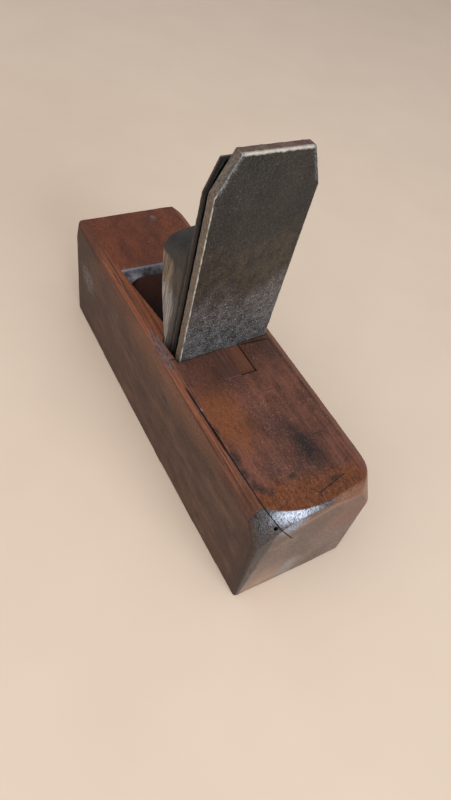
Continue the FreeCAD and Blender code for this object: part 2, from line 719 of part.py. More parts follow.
# Threaded boss: riveted into the cap iron, with its foot on the cutting iron.
def make_boss():
    bore = "shank_radius + run_clear"
    foot = "(iron_thick + run_clear)"
    front = f"({CAP_FRONT} + run_clear / 2)"
    end = f"({CAP_FRONT} + boss_thick)"
    back = f"({CAP_BACK} - run_clear / 2)"
    return turned("cap_screw_boss", [
        (foot, bore),
        (end, bore),
        (end, "boss_radius - boss_bevel"),
        (f"{end} - boss_bevel", "boss_radius"),
        (front, "boss_radius"),
        (front, "boss_neck"),
        (back, "boss_neck"),
        (back, "boss_foot"),
        (foot, "boss_foot"),
    ])


# Cap screw: its slotted head lies in the bed's channel and its shank turns in the boss.
def make_screw():
    tip = f"({CAP_FRONT} + boss_thick - boss_bevel)"
    body = turned("cap_screw", [
        ("-run_clear - head_thick", "0"),
        (tip, "0"),
        (tip, "shank_radius - boss_bevel"),
        (f"{tip} - boss_bevel", "shank_radius"),
        ("-run_clear", "shank_radius"),
        ("-run_clear", "head_radius"),
        ("-run_clear - head_thick + boss_bevel", "head_radius"),
        ("-run_clear - head_thick", "head_radius - boss_bevel"),
    ])
    groove = draw(body_sketch(body, "screw_slot_side", "XZ_Plane"), [
        ("-run_clear - head_thick - over", "-head_slot_wide / 2"),
        ("-run_clear - head_thick + head_slot_deep", "-head_slot_wide / 2"),
        ("-run_clear - head_thick + head_slot_deep", "head_slot_wide / 2"),
        ("-run_clear - head_thick - over", "head_slot_wide / 2"),
    ])
    pocket(body, groove, "screw_slot", "4 * head_radius")
    return body


# Wedge: tapered and forked below, swelling toward the toe above, with a rounded top.
def make_wedge():
    body = bed_body("wedge")
    head_front = f"({WEDGE_BACK} + wedge_head_thick)"
    head_foot = "(stock_height + wedge_head_high)"
    above = f"({head_foot} + wedge_shoulder_rise + over)"
    side = draw(body_sketch(body, "wedge_side", "XZ_Plane"), [
        (WEDGE_BACK, "wedge_tip_high"),
        (wedge_front("wedge_tip_high"), "wedge_tip_high"),
        (wedge_front("stock_height"), "stock_height", "wedge_swell_radius", -1),
        (head_front, head_foot),
        (head_front, above),
        (WEDGE_BACK, f"{above} + wedge_head_thick * tan(wedge_top_slope)"),
    ])
    plain = pad(body, side, "wedge_blank", "iron_width", True)
    chamfer(body, plain, "wedge_rear_edges", "wedge_edge", wedge_rear_edge)
    half = "iron_width / 2"
    foot = f"({head_foot} * cos(wedge_top_slope) + {head_front} * sin(wedge_top_slope))"
    flank = f"({half} - wedge_shoulder_wide)"
    rise = "* cos(wedge_top_slope)"
    arch = draw(body_sketch(body, "wedge_arch", "YZ_Plane", "0", "wedge_top_slope"), [
        (f"{half} + over", foot),
        (half, foot, "wedge_shoulder_radius", -1),
        (flank, f"{foot} + wedge_shoulder_rise {rise}", "wedge_arch_radius", -1),
        (f"-{flank}", f"{foot} + wedge_shoulder_rise {rise}", "wedge_shoulder_radius", -1),
        (f"-{half}", foot),
        (f"-{half} - over", foot),
        (f"-{half} - over", f"{foot} + 6 * over"),
        (f"{half} + over", f"{foot} + 6 * over"),
    ])
    pocket(body, arch, "wedge_top", "4 * (stock_height + wedge_head_high)")
    gap = "fork_wide / 2"
    fork = draw(body_sketch(body, "wedge_fork", "YZ_Plane"), [
        (f"-{gap}", "wedge_tip_high - over"),
        (gap, "wedge_tip_high - over"),
        (gap, "fork_high", f"{HALF_CIRCLE_SHARE} * {gap}", -1),
        (f"-{gap}", "fork_high"),
    ])
    pocket(body, fork, "wedge_fork_cut", "4 * wedge_head_thick")
    return body


def wedge_rear_edge(edge):
    middle = edge.CenterOfMass
    back = value(WEDGE_BACK)
    return (abs(middle.x - back) < size["wedge_clear"] and abs(abs(middle.y) - size["iron_width"] / 2)
            < size["wedge_clear"])


def check_states():
    for thing in doc.Objects:
        assert "Invalid" not in thing.State and "Error" not in thing.State, (thing.Name, thing.State)


def main():
    subparts = [
        make_stock(slot_tool("iron_slot_cut")),
        make_block(slot_tool("block_face_cut")),
        make_iron(),
        make_cap(),
        make_boss(),
        make_screw(),
        make_wedge(),
    ]
    doc.recompute()
    check_states()
    os.makedirs("parts", exist_ok=True)
    for subpart in subparts:
        subpart.Label = subpart.Name
        shape = subpart.Shape
        assert not shape.isNull() and shape.isValid(), subpart.Label
        print(subpart.Label, len(shape.Solids), round(shape.Volume))
        shape.exportStep(f"parts/{subpart.Label}.step")


main()
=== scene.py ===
"""Looks of the wooden hand plane: worn wood and dark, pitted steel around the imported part."""

import math

import bmesh
import bpy
from mathutils import Euler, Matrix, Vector


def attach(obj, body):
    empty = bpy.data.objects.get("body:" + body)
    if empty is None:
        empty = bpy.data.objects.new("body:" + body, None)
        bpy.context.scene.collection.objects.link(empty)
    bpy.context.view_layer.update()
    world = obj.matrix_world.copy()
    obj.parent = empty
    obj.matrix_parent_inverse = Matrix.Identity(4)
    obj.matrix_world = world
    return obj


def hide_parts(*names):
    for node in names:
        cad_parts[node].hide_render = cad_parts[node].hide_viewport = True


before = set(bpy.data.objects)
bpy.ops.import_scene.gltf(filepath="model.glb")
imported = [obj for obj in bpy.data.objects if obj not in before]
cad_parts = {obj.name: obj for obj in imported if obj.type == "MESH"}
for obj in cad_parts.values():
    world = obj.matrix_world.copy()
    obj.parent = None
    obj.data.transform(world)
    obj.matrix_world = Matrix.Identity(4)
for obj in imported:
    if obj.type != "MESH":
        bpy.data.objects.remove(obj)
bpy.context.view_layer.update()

MM = 0.001

# Camera, found from the photograph's edges and corners.
CAMERA_PLACE = (-0.1808, 0.1251, 0.2766)
CAMERA_TURN = (39.45, -9.16, -117.99)
CAMERA_LENS = 26.95
SENSOR_WIDTH = 36
CLIP_START = 0.005

# Light: a window beyond the heel, a broad ceiling glow and a pale sky.
WINDOW_FROM = (-0.955, -0.075, 0.275)
WINDOW_FAR = 2.4
WINDOW_SIZE = (1.63, 1.30)
WINDOW_WATTS = 64
WINDOW_COLOUR = (0.84, 0.93, 1.0)
CEILING_FROM = (-0.25, 0.35, 1.0)
CEILING_FAR = 1.6
CEILING_SIZE = (2.4, 2.4)
CEILING_WATTS = 30
CEILING_COLOUR = (1.0, 0.97, 0.93)
SKY = (0.80, 0.84, 0.90)
SKY_LEVEL = 0.36

# Floor: a plain one, with very faint clouds.
FLOOR_HALF = 4.0
FLOOR_DROP = 0.0002
FLOOR_CLOUDS = (60, 60, 60)
FLOOR_TONES = ((214, 193, 174), (205, 184, 165))
FLOOR_ROUGHNESS = 0.7


def srgb(red, green, blue):
    """Linear colour from the usual 0 to 255 values."""
    def linear(part):
        part = part / 255
        return part / 12.92 if part <= 0.04045 else ((part + 0.055) / 1.055) ** 2.4
    return (linear(red), linear(green), linear(blue), 1.0)


class Shader:
    """One node material. Its calls add nodes and link them; lengths are in millimetres."""

    def __init__(self, name):
        self.material = bpy.data.materials.new(name)
        self.material.use_nodes = True
        self.tree = self.material.node_tree
        self.tree.nodes.clear()
        self.surface = self.add("ShaderNodeBsdfPrincipled")
        output = self.add("ShaderNodeOutputMaterial")
        self.tree.links.new(self.surface.outputs["BSDF"], output.inputs["Surface"])
        coordinates = self.add("ShaderNodeTexCoord")
        self.place = self.vector("SCALE", coordinates.outputs["Object"], scale=1 / MM)
        self.facing = coordinates.outputs["Normal"]

    def add(self, kind, inputs=None, **settings):
        node = self.tree.nodes.new(kind)
        for key, value in settings.items():
            setattr(node, key, value)
        for key, value in (inputs or {}).items():
            self.feed(node.inputs[key], value)
        return node

    def feed(self, socket, value):
        if isinstance(value, bpy.types.NodeSocket):
            self.tree.links.new(value, socket)
        else:
            socket.default_value = value

    def math(self, operation, first, second=0.0, third=0.0, clamp=False):
        node = self.add("ShaderNodeMath", {0: first, 1: second, 2: third}, operation=operation,
                        use_clamp=clamp)
        return node.outputs[0]

    def vector(self, operation, first, second=(0.0, 0.0, 0.0), scale=None):
        inputs = {0: first}
        if scale is None:
            inputs[1] = second
        else:
            inputs["Scale"] = scale
        node = self.add("ShaderNodeVectorMath", inputs, operation=operation)
        return node.outputs["Value" if operation in ("LENGTH", "DOT_PRODUCT", "DISTANCE") else "Vector"]

    def parts(self, vector):
        """The three numbers of a vector."""
        return self.add("ShaderNodeSeparateXYZ", {0: vector}).outputs

    def noise(self, grain, detail, roughness=0.55, bend=0.0, shift=0.0):
        """Cloudy noise, about 0 to 1, whose lumps are as long as grain says, in mm."""
        scale = tuple(1 / length for length in grain)
        moved = self.vector("MULTIPLY", self.vector("ADD", self.place, (shift, shift, shift)), scale)
        node = self.add("ShaderNodeTexNoise", {"Vector": moved, "Scale": 1.0, "Detail": detail,
                                               "Roughness": roughness, "Distortion": bend})
        return node.outputs["Fac"]

    def fade(self, value, low, high):
        """0 at low, 1 at high, smooth between. Low may be the greater number."""
        node = self.add("ShaderNodeMapRange", {"Value": value, "From Min": low, "From Max": high},
                        interpolation_type="SMOOTHSTEP")
        return node.outputs["Result"]

    def both(self, first, second):
        return self.math("MULTIPLY", first, second)

    def either(self, first, second):
        return self.math("MAXIMUM", first, second)

    def other(self, value):
        return self.math("SUBTRACT", 1.0, value)

    def away(self, value, centre):
        """Distance of a number from a centre."""
        return self.math("ABSOLUTE", self.math("SUBTRACT", value, centre))

    def past(self, value, start):
        """How far a number is past a start, and 0 before it."""
        return self.math("MAXIMUM", self.math("SUBTRACT", value, start), 0)

    def swing(self, noise, spread):
        """Noise as a number that swings about 0."""
        return self.math("MULTIPLY", self.math("SUBTRACT", noise, 0.5), spread)

    def shaken(self, value, noise, spread):
        """Number moved to and fro by a noise, so that a border found from it is ragged."""
        return self.math("MULTIPLY_ADD", self.math("SUBTRACT", noise, 0.5), spread, value)

    def mix(self, amount, under, over):
        node = self.add("ShaderNodeMix", data_type="RGBA")
        self.feed(node.inputs["Factor"], amount)
        self.feed(node.inputs[6], under)
        self.feed(node.inputs[7], over)
        return node.outputs[2]

    def blend(self, amount, under, over):
        """The same for plain numbers."""
        node = self.add("ShaderNodeMix", data_type="FLOAT")
        self.feed(node.inputs["Factor"], amount)
        self.feed(node.inputs[2], under)
        self.feed(node.inputs[3], over)
        return node.outputs[0]

    def between(self, amount, first, second):
        """Colour between two tones, each given by its 0 to 255 values."""
        return self.mix(amount, srgb(*first), srgb(*second))

    def tones(self, value, low, high, first, second):
        """Colour that goes from the first tone at low to the second at high."""
        return self.between(self.fade(value, low, high), first, second)

    def spot(self, centre, reach, edge=0.4, rough=0.0, lump=3.0):
        """1 inside a patch round a point. reach is its half size each way in mm, edge how soft it is,
        rough how ragged, and lump the size of its rags in mm."""
        offset = self.vector("SUBTRACT", self.place, centre)
        shares = self.vector("MULTIPLY", offset, tuple(1 / length for length in reach))
        distance = self.vector("LENGTH", shares)
        if rough:
            distance = self.shaken(distance, self.noise((lump, lump, lump), 3), 2 * rough)
        return self.fade(distance, 1 + edge, 1 - edge)

    def stroke(self, start, end, width, wobble):
        """1 along the straight line between two points. width and wobble are in mm."""
        along = Vector(end) - Vector(start)
        offset = self.vector("SUBTRACT", self.place, start)
        share = self.math("DIVIDE", self.vector("DOT_PRODUCT", offset, tuple(along)), along.length_squared,
                          clamp=True)
        on_line = self.vector("SCALE", tuple(along), scale=share)
        distance = self.vector("DISTANCE", offset, on_line)
        distance = self.shaken(distance, self.noise((2.0, 2.0, 2.0), 2), wobble)
        return self.fade(distance, width, width / 3)

    def bump(self, height, depth, under=None):
        """Shading relief. depth is in mm."""
        inputs = {"Height": height, "Distance": depth * MM, "Strength": 1.0}
        if under is not None:
            inputs["Normal"] = under
        return self.add("ShaderNodeBump", inputs).outputs["Normal"]

    def finish(self, colour, roughness, normal=None, **constants):
        self.feed(self.surface.inputs["Base Color"], colour)
        self.feed(self.surface.inputs["Roughness"], roughness)
        if normal is not None:
            self.feed(self.surface.inputs["Normal"], normal)
        for key, value in constants.items():
            self.surface.inputs[key.replace("_", " ")].default_value = value
        return self.material


# In the values of a material, places and lengths are in mm in the part's frame, and tones have 0 to 255
# values. Most pairs of plain numbers say where a mask is 0 and where it is 1: a place along one way or, for
# a facing, how much a face looks that way, from -1 to 1.

WOOD_SHINE = 0.36

# Stock: which way its faces look, and where the heel's rounding begins.
TOP_FACING = (0.80, 0.95)
LEFT_FACING = (0.78, 0.93)
RIGHT_FACING = (-0.78, -0.93)
HEEL_FACING = (-0.90, -0.985)
TOE_FACING = (0.88, 0.97)
UPRIGHT_FACING = (0.30, 0.12)
BEVEL_FACING_UP = (0.2, 0.45)
ROUNDING_FACING = (-0.06, -0.30)
ROUNDING_FROM = (-88, -94)

# Where the top's tones change: painted shade toward the irons, orange at the heel end, red at the toe, and
# streaky on the throat's left cheek.
SHADE_BY_IRONS_FROM = (-44, -20)
SHADE_BY_IRONS_TO = (-8, -14)
ORANGE_BEHIND = (-87, -95)
ORANGE_SLANT = -0.12
ORANGE_LEFT_OF = (-29, -23)
RED_AHEAD = (55, 62)
CHEEK_FROM = (-6, 4)
CHEEK_TO = (66, 54)
CHEEK_LEFT_OF = (12, 16)

# Bevels: which way they look, and where the left one's tone changes. The strip is its upper arris.
LEFT_BEVEL_FACING = ((0.25, 0.5), (0.96, 0.85))
RIGHT_BEVEL_FACING = ((-0.15, -0.4), (-0.96, -0.85))
RIGHT_BEVEL_AHEAD = (-88, -80)
STRIP_LEFT_OF = (25.6, 26.6)
STRIP_FACING_UP = (0.35, 0.6)
BEVEL_RED_AHEAD = (62, 88)
BEVEL_DARK_BEHIND = (-74, -93)

# Where the sides' tones change.
SHADOW_ABOVE = (57, 61)
SHADOW_BEHIND = (-30, -60)
REDDISH_ABOVE = (50, 60)
DARK_AHEAD = (58, 92)
PALER_ABOVE = (50, 62)
PALER_FROM = (-80, -50)
PALER_TO = (40, 10)
CORNER_BEHIND = (-96.5, -101)
ARRIS_BEHIND = (-102.6, -105.2)
ARRIS_ABOVE = (4, 22)

# Patches of the top: middle, half sizes, softness, raggedness and the size of the rags.
WARM_PATCH = ((-50, 17, 66), (19, 9, 9), 0.6, 0.5, 6)
WARM_CORE = ((-43, 20, 66), (9, 5, 5), 0.6, 0.5)
STAIN_HALO = ((-76, -7, 66), (20, 11, 9), 0.9, 0.5, 6)
STAIN = ((-78, -9.2, 66), (10, 4.8, 6), 0.8, 0.5, 4)
DIM_BY_IRON = ((-31, 9, 66), (9, 9, 4), 0.8, 0.6, 6)
DIM_BY_STAIN = ((-66, -3, 66), (8, 6, 4), 0.9, 0.6, 6)
NICK = ((-43.1, 26.0, 66), (0.9, 0.6, 1), 0.5)
DENT = ((97.4, -11.7, 66), (2.4, 1.5, 1), 0.8, 0.4, 1.5)
DARK_BY_DENT = ((97, -6, 66), (5, 5, 2), 0.9, 0.6, 3)
BEVEL_PATCH = ((-3, 27.6, 66), (13, 2.4, 4), 0.5, 0.45, 3)

# Small dark spots of the top: middle and half sizes.
DARK_SPOT_LOOK = (0.7, 0.45, 1.6)
DARK_SPOTS = [
    ((-89.2, 5.0, 66), (1.6, 1.8, 3)),
    ((-87.7, 22.7, 66), (2.4, 1.5, 3)),
    ((-92.3, 18.0, 66), (1.6, 1.8, 3)),
    ((-90.1, 20.6, 66), (2.2, 1.4, 3)),
    ((-56.2, 25.4, 66), (4.0, 1.3, 3)),
    ((-72.0, 23.8, 66), (3.4, 2.0, 3)),
    ((-80.5, 24.0, 66), (3.0, 1.3, 3)),
    ((-97.0, -12.0, 66), (1.2, 2.2, 2)),
]

# Scratches of the top: start, end, width, and how dark and deep they are.
STOCK_TOP = 66.2
SCRATCH_WOBBLE = 0.5
SCRATCHES = [
    ((-96.7, -17.2), (-100.4, -2.1), 0.55, 0.8),
    ((-100.2, -2.1), (-102.2, -1.6), 0.6, 0.8),
    ((-42.8, -7.0), (-43.9, -18.4), 0.32, 0.5),
    ((-73.4, -15.5), (-73.4, -21.5), 0.45, 0.55),
    ((-73.4, -21.5), (-78.0, -25.0), 0.35, 0.4),
    ((-92.3, -9.5), (-92.1, -18.6), 0.35, 0.4),
    ((-30.6, 8.0), (-31.4, 1.5), 0.35, 0.5),
    ((-13.0, -26.9), (-50.0, -27.6), 0.4, 0.6),
    ((-50.0, -27.6), (-86.0, -27.2), 0.4, 0.5),
    ((-9.0, 26.6), (-27.0, 26.9), 0.35, 0.7),
    ((-22.0, 25.0), (-44.0, 25.3), 0.3, 0.4),
]

# Sides: bruises, given by middle and half sizes, and a scuffed patch near the toe, painted pale as a
# highlight.
HIGH_BRUISE_LOOK = (0.8, 0.5, 2)
HIGH_BRUISES = [
    ((-66, 32, 55.5), (5, 3, 2.2)),
    ((-63, 32, 58), (3, 3, 1.4)),
    ((-20, 32, 50), (5, 3, 1.6)),
]
BRUISE_LOOK = (0.9, 0.6, 2)
BRUISES = [
    ((-86, 32, 40), (3, 3, 2)),
    ((-84, 32, 22), (2, 3, 3)),
    ((4, 32, 30), (5, 3, 2)),
    ((-50, 32, 38), (2.5, 3, 2)),
    ((34, 32, 44), (6, 3, 2.5)),
    ((-34, 32, 20), (5, 3, 3)),
]
SCUFF_SHINE = ((88, 32.3, 38), (8, 4, 7), 0.7, 0.7, 3)

# Outside this line the left bevel is brown like the side. It moves outward toward the toe.
BROWN_FROM = (29.0, 30.2)
BROWN_LEAN_FROM = 38
BROWN_LEAN = -0.03

# Heel: patches of its face, and strokes along it and along its rim.
TAN = ((-107, 20, 10), (5, 16, 12), 0.8, 0.5, 6)
WORN_RIGHT = ((-107, -24, 46), (5, 16, 13), 0.9, 0.6, 6)
BLUISH = ((-107, 3, 9), (5, 4, 11), 0.7, 0.5, 4)
# The next two patches are painted light: a grey sheen on the face under the rounding, and the window's
# reflection painted silver on the rounding.
LOWER_SHEEN = ((-107, 13, 58), (4, 6, 5), 0.6, 0.5, 2.5)
SHINE = ((-104.5, 12.5, 64.5), (5, 9.5, 3.4), 0.7, 0.5, 2.5)
DARK_STRIPE = ((-107, 21, 48), (-107, -18, 50), 3.0, 4.0)
RIM_LEFT = ((-107, 9, 54.5), (-107, -8, 61.5), 2.6, 3.0)
RIM_RIGHT = ((-107, -8, 61.5), (-106, -22, 63), 3.0, 3.0)
DARK_LEFT_LEAN = 0.136
DARK_LEFT = (27.6, 29.4)
BROWN_CORNER = (28.2, 29.4)
WARM_RIGHT_OF = (-1, -11)
DULL_BELOW = (50, 38)

# Throat: where it begins each way, its sloping lip, where the painted highlight on the lip's edge lies, and
# the heights between which painted shade and grime take it from dark brown to near black.
THROAT_BACK = (-14, -11)
THROAT_FRONT = (59.3, 58.6)
THROAT_SIDE = (26.4, 25.9)
THROAT_TOP = (65.7, 65.2)
THROAT_SHADE_DEPTH = (34, 62)
LIP_FROM = (60.2, 61.8)
LIP_HIGHLIGHT_UP = (64.1, 65.1)
LIP_HIGHLIGHT_ALONG = (55, 57)

# Crack: it starts behind the middle, drifts right and faster past its bend, and leans as it goes down.
CRACK_START = 25.6
CRACK_BEND = 32.4
CRACK_LEFT = 27.2
CRACK_DRIFT = -0.0309
CRACK_DRIFT_PAST_BEND = -0.0425
CRACK_LEAN = 0.6494
CRACK_WANDER = 0.7
CRACK_FADE_IN = (0, 6)
CRACK_BOTTOM = (43, 46)
CRACK_NARROWS = (20, 60)
CRACK_WIDTHS = (0.62, 0.34)
WORM_HOLE = ((-103.8, 21.5, 57.9), (2.4, 1.15, 2.4), 0.1)

# Dark lines along the fitted block's right and back edges, and along the irons' foot.
BLOCK_RIGHT_SEAM = ((-12, -10.9, 66), (-30.2, -10.9, 66), 0.8, 0.5)
BLOCK_BACK_SEAM = ((-30.4, -10.9, 66), (-30.4, -2.6, 66), 0.8, 0.6)
IRON_FOOT = ((-10.6, 26, 66.2), (-13.4, -26, 66.2), 0.8, 0.6)


class StockWood(Shader):
    """The stock's wood: reddish top, orange bevels, dull sides, worn heel and dark throat."""

    def __init__(self):
        super().__init__("stock_wood")
        self.x, self.y, self.z = self.parts(self.place)
        toeward, self.leftward, self.upward = self.parts(self.facing)
        self.mottle = self.noise((17, 8, 8), 4, 0.6)
        self.cloud = self.noise((34, 20, 20), 2, 0.5, shift=31)
        self.grain = self.noise((55, 1.7, 1.7), 4, 0.65, bend=0.3)
        self.pores = self.noise((4.2, 0.7, 0.7), 3, 0.75)
        self.grime = self.noise((2.2, 1.5, 1.5), 4, 0.7, shift=7)
        self.dust = self.noise((0.75, 0.75, 0.75), 2, 0.6, shift=13)
        self.flakes = self.noise((1.5, 0.8, 1.5), 3, 0.8, bend=0.5, shift=23)
        self.dark_pores = self.both(self.fade(self.pores, 0.44, 0.34), 0.5)
        self.top = self.fade(self.upward, *TOP_FACING)
        self.heel = self.fade(toeward, *HEEL_FACING)
        self.toe = self.fade(toeward, *TOE_FACING)
        rounding = self.both(self.fade(toeward, *ROUNDING_FACING), self.fade(self.x, *ROUNDING_FROM))
        self.rounding = self.both(rounding, self.other(self.heel))
        self.sides = self.side_mask()
        self.orange = self.orange_mask()
        self.scratches = self.scratch_mask()
        self.dent = self.spot(*DENT)
        self.scuff_shine = self.both(self.spot(*SCUFF_SHINE), self.fade(self.grime, 0.36, 0.58))
        self.brown_corner = self.fade(self.shaken(self.y, self.grime, 3), *BROWN_CORNER)
        self.inner = self.throat_mask()
        self.lip = self.both(self.inner, self.fade(self.z, *LIP_FROM))
        self.crack = self.crack_mask()
        self.seam = self.either(self.both(self.stroke(*BLOCK_RIGHT_SEAM), 0.95),
                                self.both(self.stroke(*BLOCK_BACK_SEAM), 0.85))

    def side_mask(self):
        """Both sides, all that doesn't look up, and the lower half of the left bevel."""
        left = self.fade(self.leftward, *LEFT_FACING)
        right = self.fade(self.leftward, *RIGHT_FACING)
        upright = self.fade(self.upward, *UPRIGHT_FACING)
        lean = self.math("MULTIPLY_ADD", self.past(self.x, BROWN_LEAN_FROM), BROWN_LEAN, self.y)
        brown_bevel = self.both(self.fade(lean, *BROWN_FROM), self.fade(self.leftward, 0.3, 0.5))
        return self.either(self.either(left, brown_bevel), self.either(right, upright))

    def orange_mask(self):
        """The heel end of the top, with a ragged slanting border."""
        border = self.math("MULTIPLY_ADD", self.y, ORANGE_SLANT, self.shaken(self.x, self.mottle, 12))
        return self.both(self.fade(border, *ORANGE_BEHIND), self.fade(self.y, *ORANGE_LEFT_OF))

    def scratch_mask(self):
        mask = None
        for start, end, width, depth in SCRATCHES:
            line = self.stroke((*start, STOCK_TOP), (*end, STOCK_TOP), width, SCRATCH_WOBBLE)
            line = self.both(line, depth)
            mask = line if mask is None else self.either(mask, line)
        return mask

    def throat_mask(self):
        along = self.both(self.fade(self.x, *THROAT_BACK), self.fade(self.x, *THROAT_FRONT))
        across = self.fade(self.away(self.y, 0), *THROAT_SIDE)
        return self.both(self.both(along, across), self.fade(self.z, *THROAT_TOP))

    def crack_mask(self):
        behind = self.math("SUBTRACT", self.math("MULTIPLY", self.x, -1), CRACK_START)
        before_bend = self.math("MINIMUM", behind, CRACK_BEND)
        drift = self.math("MULTIPLY_ADD", before_bend, CRACK_DRIFT, CRACK_LEFT)
        more_drift = self.math("MULTIPLY", self.past(behind, CRACK_BEND), CRACK_DRIFT_PAST_BEND)
        down = self.math("MULTIPLY", self.math("SUBTRACT", self.z, STOCK_TOP), CRACK_LEAN)
        middle = self.math("ADD", self.math("ADD", drift, more_drift), down)
        wander = self.swing(self.noise((7, 7, 7), 2, shift=9), CRACK_WANDER)
        distance = self.math("ADD", self.away(self.y, middle), self.math("ABSOLUTE", wander))
        width = self.blend(self.fade(behind, *CRACK_NARROWS), *CRACK_WIDTHS)
        high = self.both(self.fade(self.z, *CRACK_BOTTOM), self.other(self.inner))
        reach = self.both(self.fade(behind, *CRACK_FADE_IN), high)
        return self.both(self.math("LESS_THAN", distance, width), reach)

    def top_colour(self):
        """Reddish brown and cloudy, with orange worn places, and painted shade toward the irons."""
        colour = self.tones(self.mottle, 0.30, 0.68, (62, 35, 27), (106, 63, 49))
        colour = self.mix(self.both(self.fade(self.grain, 0.46, 0.62), 0.28), colour, srgb(130, 80, 60))
        colour = self.mix(self.both(self.fade(self.cloud, 0.52, 0.66), 0.35), colour, srgb(84, 56, 50))
        warm = self.either(self.spot(*WARM_PATCH), self.spot(*WARM_CORE))
        colour = self.mix(self.both(warm, 0.8), colour, srgb(116, 65, 35))
        # Painted shade on the top beside the standing irons.
        shade_by_irons = self.both(self.fade(self.x, *SHADE_BY_IRONS_FROM), self.fade(self.x, *SHADE_BY_IRONS_TO))
        colour = self.mix(self.both(shade_by_irons, 0.6), colour, srgb(58, 38, 32))

        # The heel end is orange brown, the toe darker and redder, and the throat's left cheek streaky.
        heel_end = self.tones(self.grime, 0.35, 0.65, (76, 38, 16), (118, 64, 27))
        colour = self.mix(self.both(self.orange, 0.85), colour, heel_end)
        toe_end = self.tones(self.mottle, 0.30, 0.70, (80, 37, 20), (108, 54, 29))
        colour = self.mix(self.fade(self.x, *RED_AHEAD), colour, toe_end)
        beside_throat = self.both(self.fade(self.x, *CHEEK_FROM), self.fade(self.x, *CHEEK_TO))
        cheek = self.both(beside_throat, self.fade(self.y, *CHEEK_LEFT_OF))
        streaks = self.tones(self.grain, 0.36, 0.58, (84, 40, 20), (122, 66, 32))
        return self.mix(cheek, colour, streaks)

    def marked(self, colour):
        """The top's stains, dark spots, scratches, nick and dent."""
        colour = self.mix(self.both(self.spot(*STAIN_HALO), 0.4), colour, srgb(54, 36, 31))
        colour = self.mix(self.spot(*STAIN), colour, srgb(30, 20, 21))
        dim = self.either(self.spot(*DIM_BY_IRON), self.spot(*DIM_BY_STAIN))
        colour = self.mix(self.both(dim, 0.45), colour, srgb(44, 28, 24))
        for centre, reach in DARK_SPOTS:
            dark = self.spot(centre, reach, *DARK_SPOT_LOOK)
            colour = self.mix(self.both(dark, 0.8), colour, srgb(34, 25, 24))
        colour = self.mix(self.scratches, colour, srgb(30, 19, 17))
        colour = self.mix(self.both(self.spot(*NICK), 0.7), colour, srgb(160, 136, 118))
        pale_dent = self.both(self.dent, self.fade(self.grime, 0.4, 0.6))
        colour = self.mix(self.both(pale_dent, 0.6), colour, srgb(160, 134, 126))
        return self.mix(self.both(self.spot(*DARK_BY_DENT), 0.5), colour, srgb(62, 40, 36))

    def speckled(self, colour):
        """The top's fine specks, flecks, glints, pores and grime."""
        specks = self.both(self.fade(self.dust, 0.60, 0.70), self.fade(self.cloud, 0.35, 0.6))
        colour = self.mix(self.both(specks, 0.55), colour, srgb(156, 112, 90))
        flecks = self.fade(self.noise((3.2, 0.9, 0.9), 4, 0.8, bend=0.8, shift=41), 0.45, 0.33)
        colour = self.mix(self.both(flecks, 0.5), colour, srgb(52, 29, 21))
        glints = self.fade(self.noise((1.0, 0.7, 0.7), 3, 0.8, shift=47), 0.58, 0.68)
        colour = self.mix(self.both(glints, 0.4), colour, srgb(146, 94, 68))
        colour = self.mix(self.dark_pores, colour, srgb(48, 28, 23))
        return self.mix(self.both(self.fade(self.grime, 0.60, 0.72), 0.35), colour, srgb(50, 33, 30))

    def bevelled(self, colour):
        """Bevels: orange with fine dark lines, and the left one duller toward both ends."""
        lines_along = self.noise((160, 0.8, 0.8), 3, 0.7, shift=5)
        tone = self.tones(lines_along, 0.38, 0.58, (60, 33, 23), (142, 84, 56))
        toe_tone = self.between(self.mottle, (66, 36, 25), (102, 58, 39))
        tone = self.mix(self.fade(self.x, *BEVEL_RED_AHEAD), tone, toe_tone)
        tone = self.mix(self.both(self.fade(self.x, *BEVEL_DARK_BEHIND), 0.75), tone, srgb(60, 35, 25))
        left = self.both(*(self.fade(self.leftward, *ends) for ends in LEFT_BEVEL_FACING))
        left = self.both(left, self.fade(self.upward, *BEVEL_FACING_UP))
        strip = self.both(self.fade(self.y, *STRIP_LEFT_OF), self.fade(self.upward, *STRIP_FACING_UP))
        colour = self.mix(self.both(self.either(left, strip), 0.8), colour, tone)

        right = self.both(*(self.fade(self.leftward, *ends) for ends in RIGHT_BEVEL_FACING))
        ahead = self.both(self.fade(self.upward, *BEVEL_FACING_UP), self.fade(self.x, *RIGHT_BEVEL_AHEAD))
        right_tone = self.between(self.mottle, (78, 42, 30), (136, 82, 56))
        colour = self.mix(self.both(self.both(right, ahead), 0.8), colour, right_tone)
        patch_tone = self.tones(self.pores, 0.4, 0.6, (62, 46, 46), (112, 92, 92))
        return self.mix(self.both(self.spot(*BEVEL_PATCH), 0.85), colour, patch_tone)

    def side_colour(self):
        """Duller than the top: grey brown, blotched and bruised, with a scuffed patch painted pale as a
        highlight.
        """
        colour = self.tones(self.mottle, 0.30, 0.66, (58, 36, 28), (92, 62, 47))
        colour = self.mix(self.both(self.fade(self.grain, 0.5, 0.64), 0.2), colour, srgb(118, 90, 74))
        colour = self.mix(self.both(self.fade(self.cloud, 0.55, 0.40), 0.6), colour, srgb(66, 40, 30))
        colour = self.mix(self.both(self.dark_pores, 0.9), colour, srgb(46, 32, 27))
        colour = self.mix(self.both(self.fade(self.grime, 0.58, 0.70), 0.4), colour, srgb(50, 36, 32))
        colour = self.mix(self.both(self.fade(self.dust, 0.62, 0.72), 0.35), colour, srgb(140, 116, 100))
        for centre, reach in HIGH_BRUISES:
            bruise = self.spot(centre, reach, *HIGH_BRUISE_LOOK)
            colour = self.mix(self.both(bruise, 0.65), colour, srgb(42, 34, 33))
        # Painted highlight: the pale scuffed patch near the toe.
        colour = self.mix(self.both(self.scuff_shine, 0.8), colour, srgb(128, 122, 122))

